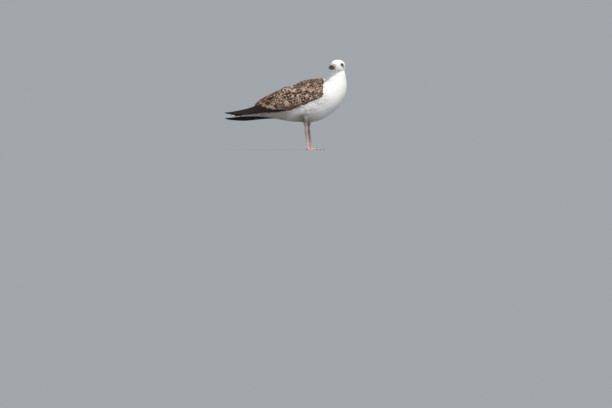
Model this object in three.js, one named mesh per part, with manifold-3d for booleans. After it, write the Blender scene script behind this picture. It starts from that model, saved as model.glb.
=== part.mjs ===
// A young great black-backed gull, standing, with its head turned to its right.
// Millimetres. +X is the bird's forward, +Y its left, +Z up. The soles stand on Z = 0.

import * as THREE from 'three';
import { mergeVertices } from 'three/addons/utils/BufferGeometryUtils.js';
import Module from 'manifold-3d';

const wasm = await Module();
wasm.setup();

// ---------------------------------------------------------------- driving dimensions

const GAP = 0.35; // between neighbouring solids
const END_GAP = 3; // times as much past the thin end of a form
const LEFT = 1;
const RIGHT = -1;

// Body and neck, as ribs from the vent to the top of the neck. Each rib runs from a point
// on the back to one on the underside, both given as [x, z], and has half a breadth.
const BODY_RIBS = [
  { back: [-266, 173], under: [-266, 170], half: 4 },
  { back: [-240, 186], under: [-246, 161.5], half: 21 },
  { back: [-196, 202], under: [-200, 157], half: 30 },
  { back: [-148, 232], under: [-150, 148], half: 40 },
  { back: [-98, 279], under: [-100, 138.5], half: 52 },
  { back: [-45, 325], under: [-49, 133], half: 62 },
  { back: [12, 340], under: [4, 131], half: 68.5 },
  { back: [50, 344], under: [57, 143.5], half: 71 },
  { back: [70, 344], under: [106, 170.5], half: 70 },
  { back: [80, 336], under: [144.5, 205.5], half: 66 },
  { back: [86, 340], under: [172, 253], half: 59 },
  { back: [95, 350], under: [182.5, 298], half: 50 },
  { back: [104, 361], under: [181, 334], half: 40.5 },
  { back: [110, 376], under: [176, 364], half: 35 },
  { back: [119, 392], under: [170, 386], half: 28 },
  { back: [144, 402], under: [148, 402], half: 3 },
];
const BODY_WIDEST = 0.53; // share of a rib's length, from the back, where it is widest
const BODY_SIDES = 26;
const BODY_STEPS = 32;

// Head, in its own frame: f towards the bill, l to its left, u up.
const HEAD_CENTRE = new THREE.Vector3(139.5, -9, 400);
const HEAD_TURN = THREE.MathUtils.degToRad(-117); // to the bird's right
const HEAD_DIP = THREE.MathUtils.degToRad(3); // bill below the horizontal
const HEAD_RIBS = [
  { back: [-45, 0], under: [-45, -3], half: 2 },
  { back: [-42, 13], under: [-43, -17], half: 15 },
  { back: [-31, 25], under: [-32, -27], half: 24.5 },
  { back: [-13, 31], under: [-14, -31.5], half: 31.5 },
  { back: [5, 31.5], under: [4, -30.5], half: 32.5 },
  { back: [19, 29.5], under: [18, -27.5], half: 29.5 },
  { back: [30, 24], under: [29, -23], half: 23.5 },
  { back: [39, 15], under: [38, -17], half: 15 },
  { back: [46, 3], under: [46, -8], half: 3 },
];
const HEAD_WIDEST = 0.55;
const HEAD_ROUNDNESS = 0.76; // 1 for an ellipse, less for a boxier section
const HEAD_SIDES = 20;
const HEAD_STEPS = 14;
const EYE_PLACE = { f: 10.5, l: 24, u: 8.5 };
const EYE_RADIUS = 7.6;

// Bill, in the head's frame. Upper and lower outlines run from the base to the tip.
const BILL_UPPER_RIBS = [
  { back: [30, 6], under: [30, 0], half: 3 },
  { back: [33, 9], under: [33, -3], half: 7.6 },
  { back: [42, 11], under: [42, -3.2], half: 8.2 },
  { back: [56, 10], under: [56, -3.4], half: 6.6 },
  { back: [70, 8.4], under: [70, -3.2], half: 5.4 },
  { back: [82, 5.6], under: [82, -3.6], half: 4.5 },
  { back: [91, 1.2], under: [90, -5.2], half: 3.6 },
  { back: [97.2, -5], under: [95, -8.6], half: 2.2 },
  { back: [98.6, -10.4], under: [97.6, -10.6], half: 0.7 },
];
const BILL_LOWER_RIBS = [
  { back: [30, -4.5], under: [30, -9], half: 3 },
  { back: [33, -3.6], under: [33, -12.4], half: 7.2 },
  { back: [42, -3.6], under: [42, -13], half: 7.4 },
  { back: [56, -3.8], under: [56, -13], half: 5.8 },
  { back: [67, -3.7], under: [67, -14], half: 4.8 },
  { back: [72, -3.7], under: [73, -13.8], half: 4.3 },
  { back: [82, -4.1], under: [82, -10.6], half: 3.4 },
  { back: [90.5, -6], under: [90, -8], half: 1.8 },
  { back: [92.5, -7], under: [92.5, -7.3], half: 0.6 },
];

// Folded wing, as leaf sections across X. Each has a lower edge, a crown that the section
// bends towards and an upper edge, given as [y, z] for the right wing mirrored to +Y.
const WING_LEAVES = [
  { x: 92, low: [56, 268], crown: [57, 271], top: [56, 274], half: 0.8 },
  { x: 84, low: [61, 256], crown: [69, 271], top: [55, 288], half: 3 },
  { x: 60, low: [64, 243], crown: [84, 273], top: [48, 308], half: 4.6 },
  { x: 25, low: [64, 227], crown: [89, 268], top: [38, 322], half: 5.2 },
  { x: -25, low: [62, 205], crown: [88, 259], top: [27, 326], half: 5.5 },
  { x: -75, low: [57, 186], crown: [81, 249], top: [17, 315], half: 4.8 },
  { x: -125, low: [50, 179], crown: [70, 240], top: [10, 297], half: 4 },
  { x: -175, low: [44, 178.5], crown: [59, 228], top: [6, 270], half: 3.4 },
  { x: -215, low: [39, 178.5], crown: [50, 216], top: [5.5, 249], half: 3 },
  { x: -246, low: [36, 177], crown: [42, 207], top: [5.5, 232], half: 2.8 },
  { x: -262, low: [35.5, 175.5], crown: [37, 196], top: [6, 213], half: 2.6 },
  { x: -310, low: [33, 172], crown: [29, 188], top: [7, 200], half: 2.4 },
  { x: -360, low: [28, 170.5], crown: [20, 183], top: [7.5, 191], half: 2 },
  { x: -392, low: [17, 171.5], crown: [11.5, 180], top: [8.5, 184], half: 1.5 },
  { x: -405, low: [11, 177], crown: [10.5, 178.5], top: [10, 180], half: 0.6 },
];
const WING_SIDES = 12;
const WING_STEPS = 26;
// The left wing hangs a little lower than the right one.
const LEFT_DROOP = 31;
const LEFT_TIP_DROOP = 26;
const LEFT_SPREAD = 6;

// Tail, as arched leaf sections from one edge to the other.
const TAIL_LEAVES = [
  { x: -172, edge: [8, 174], crown: 178, half: 2 },
  { x: -186, edge: [24, 167], crown: 190, half: 6 },
  { x: -225, edge: [30, 163], crown: 194, half: 6 },
  { x: -275, edge: [32.5, 161], crown: 192, half: 4 },
  { x: -325, edge: [34.5, 160], crown: 187, half: 2.8 },
  { x: -356, edge: [34.5, 160], crown: 183, half: 2 },
  { x: -370, edge: [30, 161], crown: 181, half: 1.3 },
  { x: -376, edge: [20, 163], crown: 177, half: 0.7 },
];
const TAIL_SIDES = 16;
const TAIL_STEPS = 13;

// Planes that part the body: a point [x, z] and the direction [x, z] that faces forward.
const TAIL_CUT = { at: [-214, 170], facing: [1, 0.12] };
const NECK_CUT = { at: [132, 306], facing: [0.5, 0.87] };
const HEAD_CUT = { at: [141, 372], facing: [-0.02, 1] };

// Legs: the ankle stands over the foot, and the thigh comes out of the belly.
const LEG_SPACING = 35; // from the middle to each leg
const ANKLE_HEIGHT = 88;
const TARSUS_FOOT_HEIGHT = 7;
const LEGS = [
  { side: RIGHT, name: 'right', hip: -17, ankle: -12, foot: -2, turn: -64 },
  { side: LEFT, name: 'left', hip: -1, ankle: 2, foot: 12, turn: 6 },
];
const TOES = [
  { name: 'inner', length: 50, spread: -29 },
  { name: 'middle', length: 61, spread: 0 },
  { name: 'outer', length: 56, spread: 27 },
];
const TOE_RADIUS = 3.9;
const TOE_TIP_RADIUS = 2.5;
const WEB_THICKNESS = 1.6;
const HALLUX_LENGTH = 15;
const CLAW_LENGTH = 9;

// ---------------------------------------------------------------- shared shape makers

function curveThrough(points) {
  return new THREE.CatmullRomCurve3(points, false, 'centripetal');
}

// Moves every vertex of a unit sphere to place(along, around), where along goes from 0 to 1
// between the poles and around is an angle.
function bendSphere(sides, steps, place) {
  const sphere = new THREE.SphereGeometry(1, sides, steps);
  const position = sphere.attributes.position;
  for (let i = 0; i < position.count; i += 1) {
    const column = i % (sides + 1);
    const row = Math.floor(i / (sides + 1));
    const around = (column % sides) / sides * Math.PI * 2;
    const point = place(row / steps, row === 0 || row === steps ? 0 : around);
    position.setXYZ(i, point.x, point.y, point.z);
  }
  return solidOf(sphere);
}

function solidOf(geometry) {
  const bare = geometry.clone();
  bare.deleteAttribute('normal');
  bare.deleteAttribute('uv');
  const merged = mergeVertices(bare, 1e-4);
  const vertProperties = new Float32Array(merged.attributes.position.array);
  const index = Array.from(merged.index.array);
  const triVerts = [];
  for (let i = 0; i < index.length; i += 3) {
    const [a, b, c] = index.slice(i, i + 3);
    if (a !== b && b !== c && c !== a) {
      triVerts.push(a, b, c);
    }
  }
  const mesh = { numProp: 3, vertProperties, triVerts: new Uint32Array(triVerts) };
  const solid = new wasm.Manifold(new wasm.Mesh(mesh));
  return solid.volume() < 0 ? turnedOut(mesh) : solid;
}

function turnedOut(mesh) {
  const triVerts = mesh.triVerts.slice();
  for (let i = 0; i < triVerts.length; i += 3) {
    [triVerts[i], triVerts[i + 1]] = [triVerts[i + 1], triVerts[i]];
  }
  return new wasm.Manifold(new wasm.Mesh({ ...mesh, triVerts }));
}

// A sine or cosine whose curve is squared up when roundness is under 1.
function bulged(wave, roundness) {
  return Math.sign(wave) * Math.abs(wave) ** roundness;
}

// A rounded form through ribs. A rib lies in the plane of its two outline points and Y.
function ribbedForm(ribs, sides, steps, widest, grow = 0, roundness = 1) {
  const back = curveThrough(ribs.map((r) => new THREE.Vector3(r.back[0], 0, r.back[1])));
  const under = curveThrough(ribs.map((r) => new THREE.Vector3(r.under[0], 0, r.under[1])));
  const breadth = curveThrough(ribs.map((r, i) => new THREE.Vector3(i * 40, r.half, 0)));
  return bendSphere(sides, steps, (along, around) => {
    const a = back.getPoint(along);
    const b = under.getPoint(along);
    const half = breadth.getPoint(along).y + grow;
    const down = b.clone().sub(a);
    const depth = down.length() + 2 * grow;
    down.normalize();
    const share = (1 - bulged(Math.cos(around), roundness)) / 2;
    const skewed = share ** (Math.log(0.5) / Math.log(1 - widest));
    const at = along === 0 || along === 1 ? 0.5 : skewed;
    const point = a.clone().addScaledVector(down, at * depth - grow);
    point.y = bulged(Math.sin(around), roundness) * half * (along === 0 || along === 1 ? 0 : 1);
    return point;
  });
}

// A thin form through leaf sections across X, the foremost first. A section bends from its
// low edge past its crown to its top edge, and is thickest in the middle.
function leafForm(leaves, sides, steps, grow = 0) {
  const along = (pick) => curveThrough(leaves.map((l) => new THREE.Vector3(l.x, ...pick(l))));
  const low = along((l) => l.low);
  const crown = along((l) => l.crown);
  const top = along((l) => l.top);
  const half = along((l) => [l.half, 0]);
  return bendSphere(sides, steps, (t, around) => {
    const section = new THREE.QuadraticBezierCurve3(
      low.getPoint(t), crown.getPoint(t), top.getPoint(t));
    const isEnd = t === 0 || t === 1;
    const share = isEnd ? 0.5 : (1 - Math.cos(around)) / 2;
    const point = section.getPoint(share);
    const tangent = section.getTangent(share);
    const outward = new THREE.Vector3(0, tangent.z, -tangent.y).normalize();
    const thickness = isEnd ? 0 : Math.sin(around) * (half.getPoint(t).y + grow);
    point.addScaledVector(outward, thickness);
    point.addScaledVector(tangent, -Math.cos(around) * grow * (isEnd ? 0 : 1));
    if (isEnd) {
      const back = t === 0 ? 0.02 : 0.98;
      const inside = new THREE.QuadraticBezierCurve3(
        low.getPoint(back), crown.getPoint(back), top.getPoint(back)).getPoint(0.5);
      point.addScaledVector(point.clone().sub(inside).normalize(), END_GAP * grow);
    }
    return point;
  });
}

// A round limb through points, each with a radius across and one along the walk.
function limbForm(joints, sides, steps, grow = 0) {
  const centre = curveThrough(joints.map((j) => new THREE.Vector3(...j.at)));
  const size = curveThrough(joints.map((j, i) => new THREE.Vector3(i * 10, j.across, j.deep)));
  return bendSphere(sides, steps, (along, around) => {
    const point = centre.getPoint(along);
    const tangent = centre.getTangent(along);
    const ends = Math.min(1, 5 * Math.min(along, 1 - along)) ** 0.5;
    const wider = along === 0 || along === 1 ? 0 : grow;
    const radius = size.getPoint(along);
    const deep = new THREE.Vector3(1, 0, 0).projectOnPlane(tangent).normalize();
    const across = tangent.clone().cross(deep);
    point.addScaledVector(across, Math.sin(around) * (radius.y * ends + wider));
    point.addScaledVector(deep, Math.cos(around) * (radius.z * ends + wider));
    point.addScaledVector(tangent, (along === 0 ? -END_GAP : 0) * grow);
    point.addScaledVector(tangent, (along === 1 ? END_GAP : 0) * grow);
    return point;
  });
}

function matrixOf(position, turn, dip) {
  const matrix = new THREE.Matrix4().makeRotationZ(turn);
  matrix.multiply(new THREE.Matrix4().makeRotationY(dip));
  matrix.setPosition(position);
  return matrix;
}

function block(min, max) {
  const size = max.map((value, i) => value - min[i]);
  const box = new THREE.BoxGeometry(...size);
  box.translate(...min.map((value, i) => value + size[i] / 2));
  return solidOf(box);
}

// The half space in front of a cut, as a large block that starts on the cut's plane.
function inFrontOf(cut, shift = 0) {
  const reach = 900;
  const angle = Math.atan2(cut.facing[1], cut.facing[0]);
  const box = new THREE.BoxGeometry(reach, reach, reach);
  box.translate(reach / 2 + shift, 0, 0);
  box.rotateY(-angle);
  box.translate(cut.at[0], 0, cut.at[1]);
  return solidOf(box);
}

function part(solid, cut) {
  return {
    front: solid.intersect(inFrontOf(cut, GAP / 2)),
    rear: solid.subtract(inFrontOf(cut, -GAP / 2)),
  };
}

// ---------------------------------------------------------------- the bird's parts

const headMatrix = matrixOf(HEAD_CENTRE, HEAD_TURN, HEAD_DIP);

function placed(solid) {
  return solid.transform(headMatrix.elements);
}

function makeEye(side, grow = 0) {
  const eye = new THREE.SphereGeometry(EYE_RADIUS + grow, 10, 7);
  eye.rotateX(Math.PI / 2);
  eye.translate(EYE_PLACE.f, side * EYE_PLACE.l, EYE_PLACE.u);
  return placed(solidOf(eye));
}

function makeBill(ribs, grow = 0) {
  return placed(ribbedForm(ribs, 10, 12, 0.5, grow));
}

function wingLeaves(side) {
  return WING_LEAVES.map((leaf) => {
    const back = THREE.MathUtils.smoothstep(-leaf.x, -90, 180);
    const tip = THREE.MathUtils.smoothstep(-leaf.x, 300, 405);
    const lowered = side === LEFT ? back * (LEFT_DROOP + (LEFT_TIP_DROOP - LEFT_DROOP) * tip) : 0;
    const spread = side === LEFT ? back * LEFT_SPREAD : 0;
    const place = ([y, z]) => [side * (y + spread), z - lowered];
    const [low, crown, top] = [place(leaf.low), place(leaf.crown), place(leaf.top)];
    return { x: leaf.x, low, crown, top, half: leaf.half };
  });
}

function makeWing(side, grow = 0) {
  return leafForm(wingLeaves(side), WING_SIDES, WING_STEPS, grow);
}

function makeTailFan() {
  const leaves = TAIL_LEAVES.map(({ x, edge, crown, half }) => (
    { x, low: [-edge[0], edge[1]], crown: [0, crown], top: edge, half }));
  return leafForm(leaves, TAIL_SIDES, TAIL_STEPS);
}

function makeThigh(leg, grow = 0) {
  const y = leg.side * LEG_SPACING;
  const drop = leg.ankle - leg.hip;
  return limbForm([
    { at: [leg.hip, y * 1.1, 176], across: 15, deep: 20 },
    { at: [leg.hip + drop * 0.2, y * 1.05, 152], across: 14, deep: 17 },
    { at: [leg.hip + drop * 0.4, y, 134], across: 10, deep: 11.5 },
    { at: [leg.hip + drop * 0.6, y, 119], across: 7, deep: 8.2 },
    { at: [leg.hip + drop * 0.72, y, 109], across: 5, deep: 6 },
  ], 12, 10, grow);
}

function makeTarsus(leg, grow = 0) {
  const y = leg.side * LEG_SPACING;
  const at = (share) => leg.ankle + (leg.foot - leg.ankle) * share;
  return limbForm([
    { at: [leg.hip + (leg.ankle - leg.hip) * 0.55, y, 122], across: 3.8, deep: 4.5 },
    { at: [leg.ankle - 1.5, y, ANKLE_HEIGHT + 14], across: 4, deep: 5 },
    { at: [leg.ankle, y, ANKLE_HEIGHT], across: 5.3, deep: 6.8 },
    { at: [at(0.15), y, ANKLE_HEIGHT - 14], across: 4, deep: 5.5 },
    { at: [at(0.5), y, ANKLE_HEIGHT * 0.5], across: 3.8, deep: 5.1 },
    { at: [at(0.85), y, ANKLE_HEIGHT * 0.2], across: 4, deep: 5.1 },
    { at: [at(1), y, TARSUS_FOOT_HEIGHT], across: 4.6, deep: 5 },
    { at: [at(1), y, TARSUS_FOOT_HEIGHT - 4.5], across: 3.7, deep: 4 },
  ], 8, 16, grow);
}

function toeDirection(leg, spread) {
  const angle = THREE.MathUtils.degToRad(leg.turn + leg.side * spread);
  return new THREE.Vector3(Math.cos(angle), Math.sin(angle), 0);
}

function footCentre(leg) {
  return new THREE.Vector3(leg.foot, leg.side * LEG_SPACING, 0);
}

function pointOut(leg, spread, distance, height) {
  const point = footCentre(leg).addScaledVector(toeDirection(leg, spread), distance);
  return [point.x, point.y, height];
}

function makeToe(leg, toe) {
  const shares = [-0.06, 0.12, 0.36, 0.62, 0.86, 1];
  const joints = shares.map((share, i) => {
    const plump = i % 2 ? 1 : 0.88;
    const radius = (TOE_RADIUS + (TOE_TIP_RADIUS - TOE_RADIUS) * share) * plump;
    const at = pointOut(leg, toe.spread, share * toe.length, radius * 0.78);
    return { at, across: radius, deep: radius };
  });
  return toeForm(joints, 6, 7);
}

// Like limbForm, for a limb that lies along the ground: its sections stand upright.
function toeForm(joints, sides, steps) {
  const centre = curveThrough(joints.map((j) => new THREE.Vector3(...j.at)));
  const size = curveThrough(joints.map((j, i) => new THREE.Vector3(i * 10, j.across, j.deep)));
  const up = new THREE.Vector3(0, 0, 1);
  return bendSphere(sides, steps, (along, around) => {
    const point = centre.getPoint(along);
    const across = up.clone().cross(centre.getTangent(along)).normalize();
    const ends = Math.min(1, 5 * Math.min(along, 1 - along)) ** 0.5;
    const radius = size.getPoint(along);
    point.addScaledVector(across, Math.sin(around) * radius.y * ends);
    point.addScaledVector(up, Math.cos(around) * radius.z * ends);
    return point;
  });
}

// The webs, as one flat sheet whose front edge is drawn in between the toes.
function makeWebs(leg) {
  const edge = new THREE.Shape();
  const reach = (toe, share) => pointOut(leg, toe.spread, toe.length * share, 0);
  const start = pointOut(leg, 0, 2, 0);
  edge.moveTo(start[0], start[1]);
  const first = reach(TOES[0], 0.93);
  edge.lineTo(first[0], first[1]);
  for (let i = 1; i < TOES.length; i += 1) {
    const [a, b] = [TOES[i - 1], TOES[i]];
    const pull = pointOut(leg, (a.spread + b.spread) / 2, (a.length + b.length) * 0.38, 0);
    const end = reach(b, 0.93);
    edge.quadraticCurveTo(pull[0], pull[1], end[0], end[1]);
  }
  edge.closePath();
  const sheet = new THREE.ExtrudeGeometry(edge, {
    depth: WEB_THICKNESS, bevelEnabled: false, curveSegments: 4,
  });
  return solidOf(sheet);
}

function makeHallux(leg) {
  return toeForm([
    { at: pointOut(leg, 180, -1, 8), across: 2.6, deep: 2.6 },
    { at: pointOut(leg, 176, 5.5, 5.2), across: 2.4, deep: 2.4 },
    { at: pointOut(leg, 173, HALLUX_LENGTH - 4, 1.5), across: 2.2, deep: 2.3 },
    { at: pointOut(leg, 172, HALLUX_LENGTH, 1.2), across: 1.8, deep: 2 },
  ], 6, 7);
}

function makeFoot(leg) {
  let foot = makeWebs(leg).add(makeHallux(leg));
  for (const toe of TOES) {
    foot = foot.add(makeToe(leg, toe));
  }
  const ankle = toeForm([
    { at: pointOut(leg, 180, 5.5, 4.4), across: 4.8, deep: 5 },
    { at: pointOut(leg, 0, 2, 5.4), across: 6, deep: 5.6 },
    { at: pointOut(leg, 0, 10, 4), across: 5.6, deep: 4 },
  ], 6, 6);
  foot = foot.add(ankle);
  const ground = block([-300, -300, -50], [300, 300, 0]);
  return foot.subtract(ground).subtract(makeTarsus(leg, GAP));
}

function makeClaw(leg, spread, distance, height, length, thick) {
  return toeForm([
    { at: pointOut(leg, spread, distance, height), across: thick, deep: thick },
    { at: pointOut(leg, spread, distance + length * 0.5, height + 0.2), across: thick * 0.8,
      deep: thick * 0.8 },
    { at: pointOut(leg, spread, distance + length, height - thick * 0.55), across: thick * 0.3,
      deep: thick * 0.3 },
  ], 6, 5);
}

function clawsOf(leg) {
  const claws = TOES.map((toe) => ({
    name: toe.name,
    make: (grow) => makeClaw(
      leg, toe.spread, toe.length - 3.4 - grow, 2.4, CLAW_LENGTH + grow, 1.9 + grow),
  }));
  claws.push({
    name: 'hind',
    make: (grow) => makeClaw(leg, 172, HALLUX_LENGTH - 2 - grow, 1.9, 5.5 + grow, 1.1 + grow),
  });
  return claws;
}

// ---------------------------------------------------------------- putting it together

const MATERIALS = {
  feather_white: { color: 0xe9e4dd, roughness: 0.85 },
  feather_dark: { color: 0x6b5646, roughness: 0.8 },
  bill_horn: { color: 0x2a2422, roughness: 0.4 },
  eye: { color: 0x120c09, roughness: 0.08 },
  leg_skin: { color: 0xd9a49b, roughness: 0.6 },
  claw: { color: 0x2b2523, roughness: 0.4 },
};

function meshOf(name, solid, look) {
  const { vertProperties, triVerts } = solid.getMesh();
  const geometry = new THREE.BufferGeometry();
  geometry.setAttribute('position', new THREE.BufferAttribute(vertProperties, 3));
  geometry.setIndex(new THREE.BufferAttribute(triVerts, 1));
  const material = new THREE.MeshStandardMaterial({ ...MATERIALS[look], metalness: 0 });
  const mesh = new THREE.Mesh(geometry, material);
  mesh.name = name;
  return mesh;
}

// Keeps a solid's largest piece, so that no crumb of a cut is left beside it.
function largest(solid) {
  return solid.decompose().reduce((a, b) => (a.volume() > b.volume() ? a : b));
}

const gull = new THREE.Group();

function addPart(name, solid, look) {
  gull.add(meshOf(name, largest(solid), look));
}

let flesh = ribbedForm(BODY_RIBS, BODY_SIDES, BODY_STEPS, BODY_WIDEST);
flesh = flesh.add(makeTailFan());
const skull = ribbedForm(HEAD_RIBS, HEAD_SIDES, HEAD_STEPS, HEAD_WIDEST, 0, HEAD_ROUNDNESS);
flesh = flesh.add(placed(skull));
for (const side of [LEFT, RIGHT]) {
  flesh = flesh.subtract(makeWing(side, GAP)).subtract(makeEye(side, GAP));
}
for (const leg of LEGS) {
  flesh = flesh.subtract(makeThigh(leg, GAP));
}
for (const ribs of [BILL_UPPER_RIBS, BILL_LOWER_RIBS]) {
  flesh = flesh.subtract(makeBill(ribs, GAP));
}

const { front: forward, rear: tail } = part(flesh, TAIL_CUT);
const { front: upper, rear: trunk } = part(forward, NECK_CUT);
const { front: head, rear: neck } = part(upper, HEAD_CUT);
addPart('trunk', trunk, 'feather_white');
addPart('neck', neck, 'feather_white');
addPart('head', head, 'feather_white');
addPart('tail', tail, 'feather_white');

const upperBill = makeBill(BILL_UPPER_RIBS);
addPart('bill_upper', upperBill, 'bill_horn');
addPart('bill_lower', makeBill(BILL_LOWER_RIBS).subtract(makeBill(BILL_UPPER_RIBS, GAP)), 'bill_horn');

for (const [side, name] of [[LEFT, 'left'], [RIGHT, 'right']]) {
  addPart(`wing_${name}`, makeWing(side), 'feather_dark');
  addPart(`eye_${name}`, makeEye(side), 'eye');
}

for (const leg of LEGS) {
  addPart(`thigh_${leg.name}`, makeThigh(leg).subtract(makeTarsus(leg, GAP)), 'feather_white');
  addPart(`tarsus_${leg.name}`, makeTarsus(leg), 'leg_skin');
  let foot = makeFoot(leg);
  for (const claw of clawsOf(leg)) {
    foot = foot.subtract(claw.make(GAP));
    addPart(`claw_${claw.name}_${leg.name}`, claw.make(0), 'claw');
  }
  addPart(`foot_${leg.name}`, foot, 'leg_skin');
}

// The origin goes under the middle of the bird's box.
const box = new THREE.Box3().setFromObject(gull);
const middle = box.getCenter(new THREE.Vector3());
gull.position.set(-middle.x, -middle.y, -box.min.z);

export default gull;
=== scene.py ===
"""A young great black-backed gull, standing, life size. Metres, +X forward, +Y its left, +Z up.

Flesh is one skin; small feathers lie over it in tracts, and the large feathers of the back,
wings and tail are vanes in rows. Sizes are in millimetres until they reach a mesh.
"""
import math

import bmesh
import bpy
import numpy as np
from mathutils import Matrix, Vector
from mathutils.bvhtree import BVHTree


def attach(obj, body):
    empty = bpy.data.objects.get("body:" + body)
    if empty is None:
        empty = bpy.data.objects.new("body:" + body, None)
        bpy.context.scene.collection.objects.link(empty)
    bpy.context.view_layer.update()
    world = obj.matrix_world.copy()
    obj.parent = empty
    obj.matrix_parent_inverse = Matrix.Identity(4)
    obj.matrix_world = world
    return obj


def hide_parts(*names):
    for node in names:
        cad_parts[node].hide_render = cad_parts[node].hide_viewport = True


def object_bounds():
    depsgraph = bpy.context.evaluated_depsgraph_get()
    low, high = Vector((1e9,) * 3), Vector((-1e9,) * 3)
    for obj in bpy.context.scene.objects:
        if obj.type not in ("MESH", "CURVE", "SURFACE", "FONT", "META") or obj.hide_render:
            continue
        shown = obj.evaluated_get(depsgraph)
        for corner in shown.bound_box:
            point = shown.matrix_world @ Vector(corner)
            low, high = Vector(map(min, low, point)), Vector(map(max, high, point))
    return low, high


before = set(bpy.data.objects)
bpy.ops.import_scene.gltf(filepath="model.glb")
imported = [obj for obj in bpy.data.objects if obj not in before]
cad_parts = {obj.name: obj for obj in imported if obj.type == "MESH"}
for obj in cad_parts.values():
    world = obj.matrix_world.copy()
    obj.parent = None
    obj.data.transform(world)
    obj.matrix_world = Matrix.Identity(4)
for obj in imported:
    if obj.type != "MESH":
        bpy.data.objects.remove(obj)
CAD_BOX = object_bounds()
BOX_LOW, BOX_HIGH = (np.array(corner) for corner in CAD_BOX)

# ---------------------------------------------------------------- places and sizes

MM = 0.001
# From the point on the floor between the feet, where the bird is drawn, to the frame's origin.
DRAWN_AT = np.array((111.03, 9.63, 0.0))
SIDES = {"left": 1, "right": -1}

HEAD_CENTRE = (139.5, -9.0, 400.0)
HEAD_TURN = math.radians(-117)
HEAD_DIP = math.radians(3)
EYE_PLACE = (10.5, 24.0, 8.5)  # in the head: towards the bill, to a side, up
EYE_RADIUS = 7.6
EYE_OPENING = 5.9  # half the width of what shows between the lids

# The line through the bird from the bill to the tail that its feathers lie along.
SPINE = (
    (121, -51, 397), (139.5, -9, 402), (148, -2, 376), (143, 0, 340), (118, 0, 296),
    (70, 0, 256), (10, 0, 238), (-80, 0, 215), (-160, 0, 190), (-240, 0, 178), (-390, 0, 174),
)

SKIN_VOXEL = 3.0
LEG_VOXEL = 0.85
LEFT_WING_DROOP = 31
HEAD_REACH = 53  # how far from the head's centre its own tracts go
HEAD_ABOVE = 368
COVERED = 0.6  # more of the back's and the wings' cover than this hides the pale plumage
FEATHERS_ABOVE = 134  # no small feather is rooted lower, on the legs
EYE_CLEARANCE = 7.2  # how far feathers keep from the middle of the eye
ROOT_CLEARANCE = 7.5


def at(x, y, z):
    """A drawn place, in millimetres, as a place in the frame, in metres."""
    return (np.array((x, y, z), float) + DRAWN_AT) * MM


def drawn(points):
    """Places in the frame, in metres, as drawn places in millimetres."""
    return np.asarray(points) / MM - DRAWN_AT


HEAD = (
    Matrix.Translation(Vector(at(*HEAD_CENTRE)))
    @ Matrix.Rotation(HEAD_TURN, 4, "Z")
    @ Matrix.Rotation(HEAD_DIP, 4, "Y")
)
HEAD_BACK = HEAD.inverted()


def in_head(f, l, u):
    return HEAD @ (Vector((f, l, u)) * MM)


def unit(vectors):
    return vectors / np.maximum(np.linalg.norm(vectors, axis=-1, keepdims=True), 1e-12)


def smooth(value, low, high):
    share = np.clip((value - low) / (high - low), 0, 1)
    return share * share * (3 - 2 * share)


# ---------------------------------------------------------------- materials


def arithmetic(operation, swapped=False):
    """A Math node that takes a value and another one, in either order."""
    def apply(self, other):
        pair = (other, self) if swapped else (self, other)
        return self.look.node("ShaderNodeMath", {"operation": operation}, dict(enumerate(pair)))
    return apply


class Value:
    """A socket of a material. Arithmetic on it adds Math nodes."""

    def __init__(self, look, socket):
        self.look = look
        self.socket = socket

    __add__ = arithmetic("ADD")
    __radd__ = arithmetic("ADD", True)
    __sub__ = arithmetic("SUBTRACT")
    __rsub__ = arithmetic("SUBTRACT", True)
    __mul__ = arithmetic("MULTIPLY")
    __rmul__ = arithmetic("MULTIPLY", True)
    least = arithmetic("MINIMUM")
    most = arithmetic("MAXIMUM")

    def __neg__(self):
        return self * -1

    def __abs__(self):
        return self.look.node("ShaderNodeMath", {"operation": "ABSOLUTE"}, {0: self})

    def sine(self):
        return self.look.node("ShaderNodeMath", {"operation": "SINE"}, {0: self})

    def rise(self, low, high):
        """0 below low, 1 above high, and smooth between."""
        settings = {"interpolation_type": "SMOOTHSTEP"}
        given = {"Value": self, "From Min": low, "From Max": high}
        return self.look.node("ShaderNodeMapRange", settings, given)

    def near(self, middle, reach):
        """1 at middle, falling smoothly to 0 at reach from it."""
        return 1 - abs(self - middle).rise(0, reach)


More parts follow.
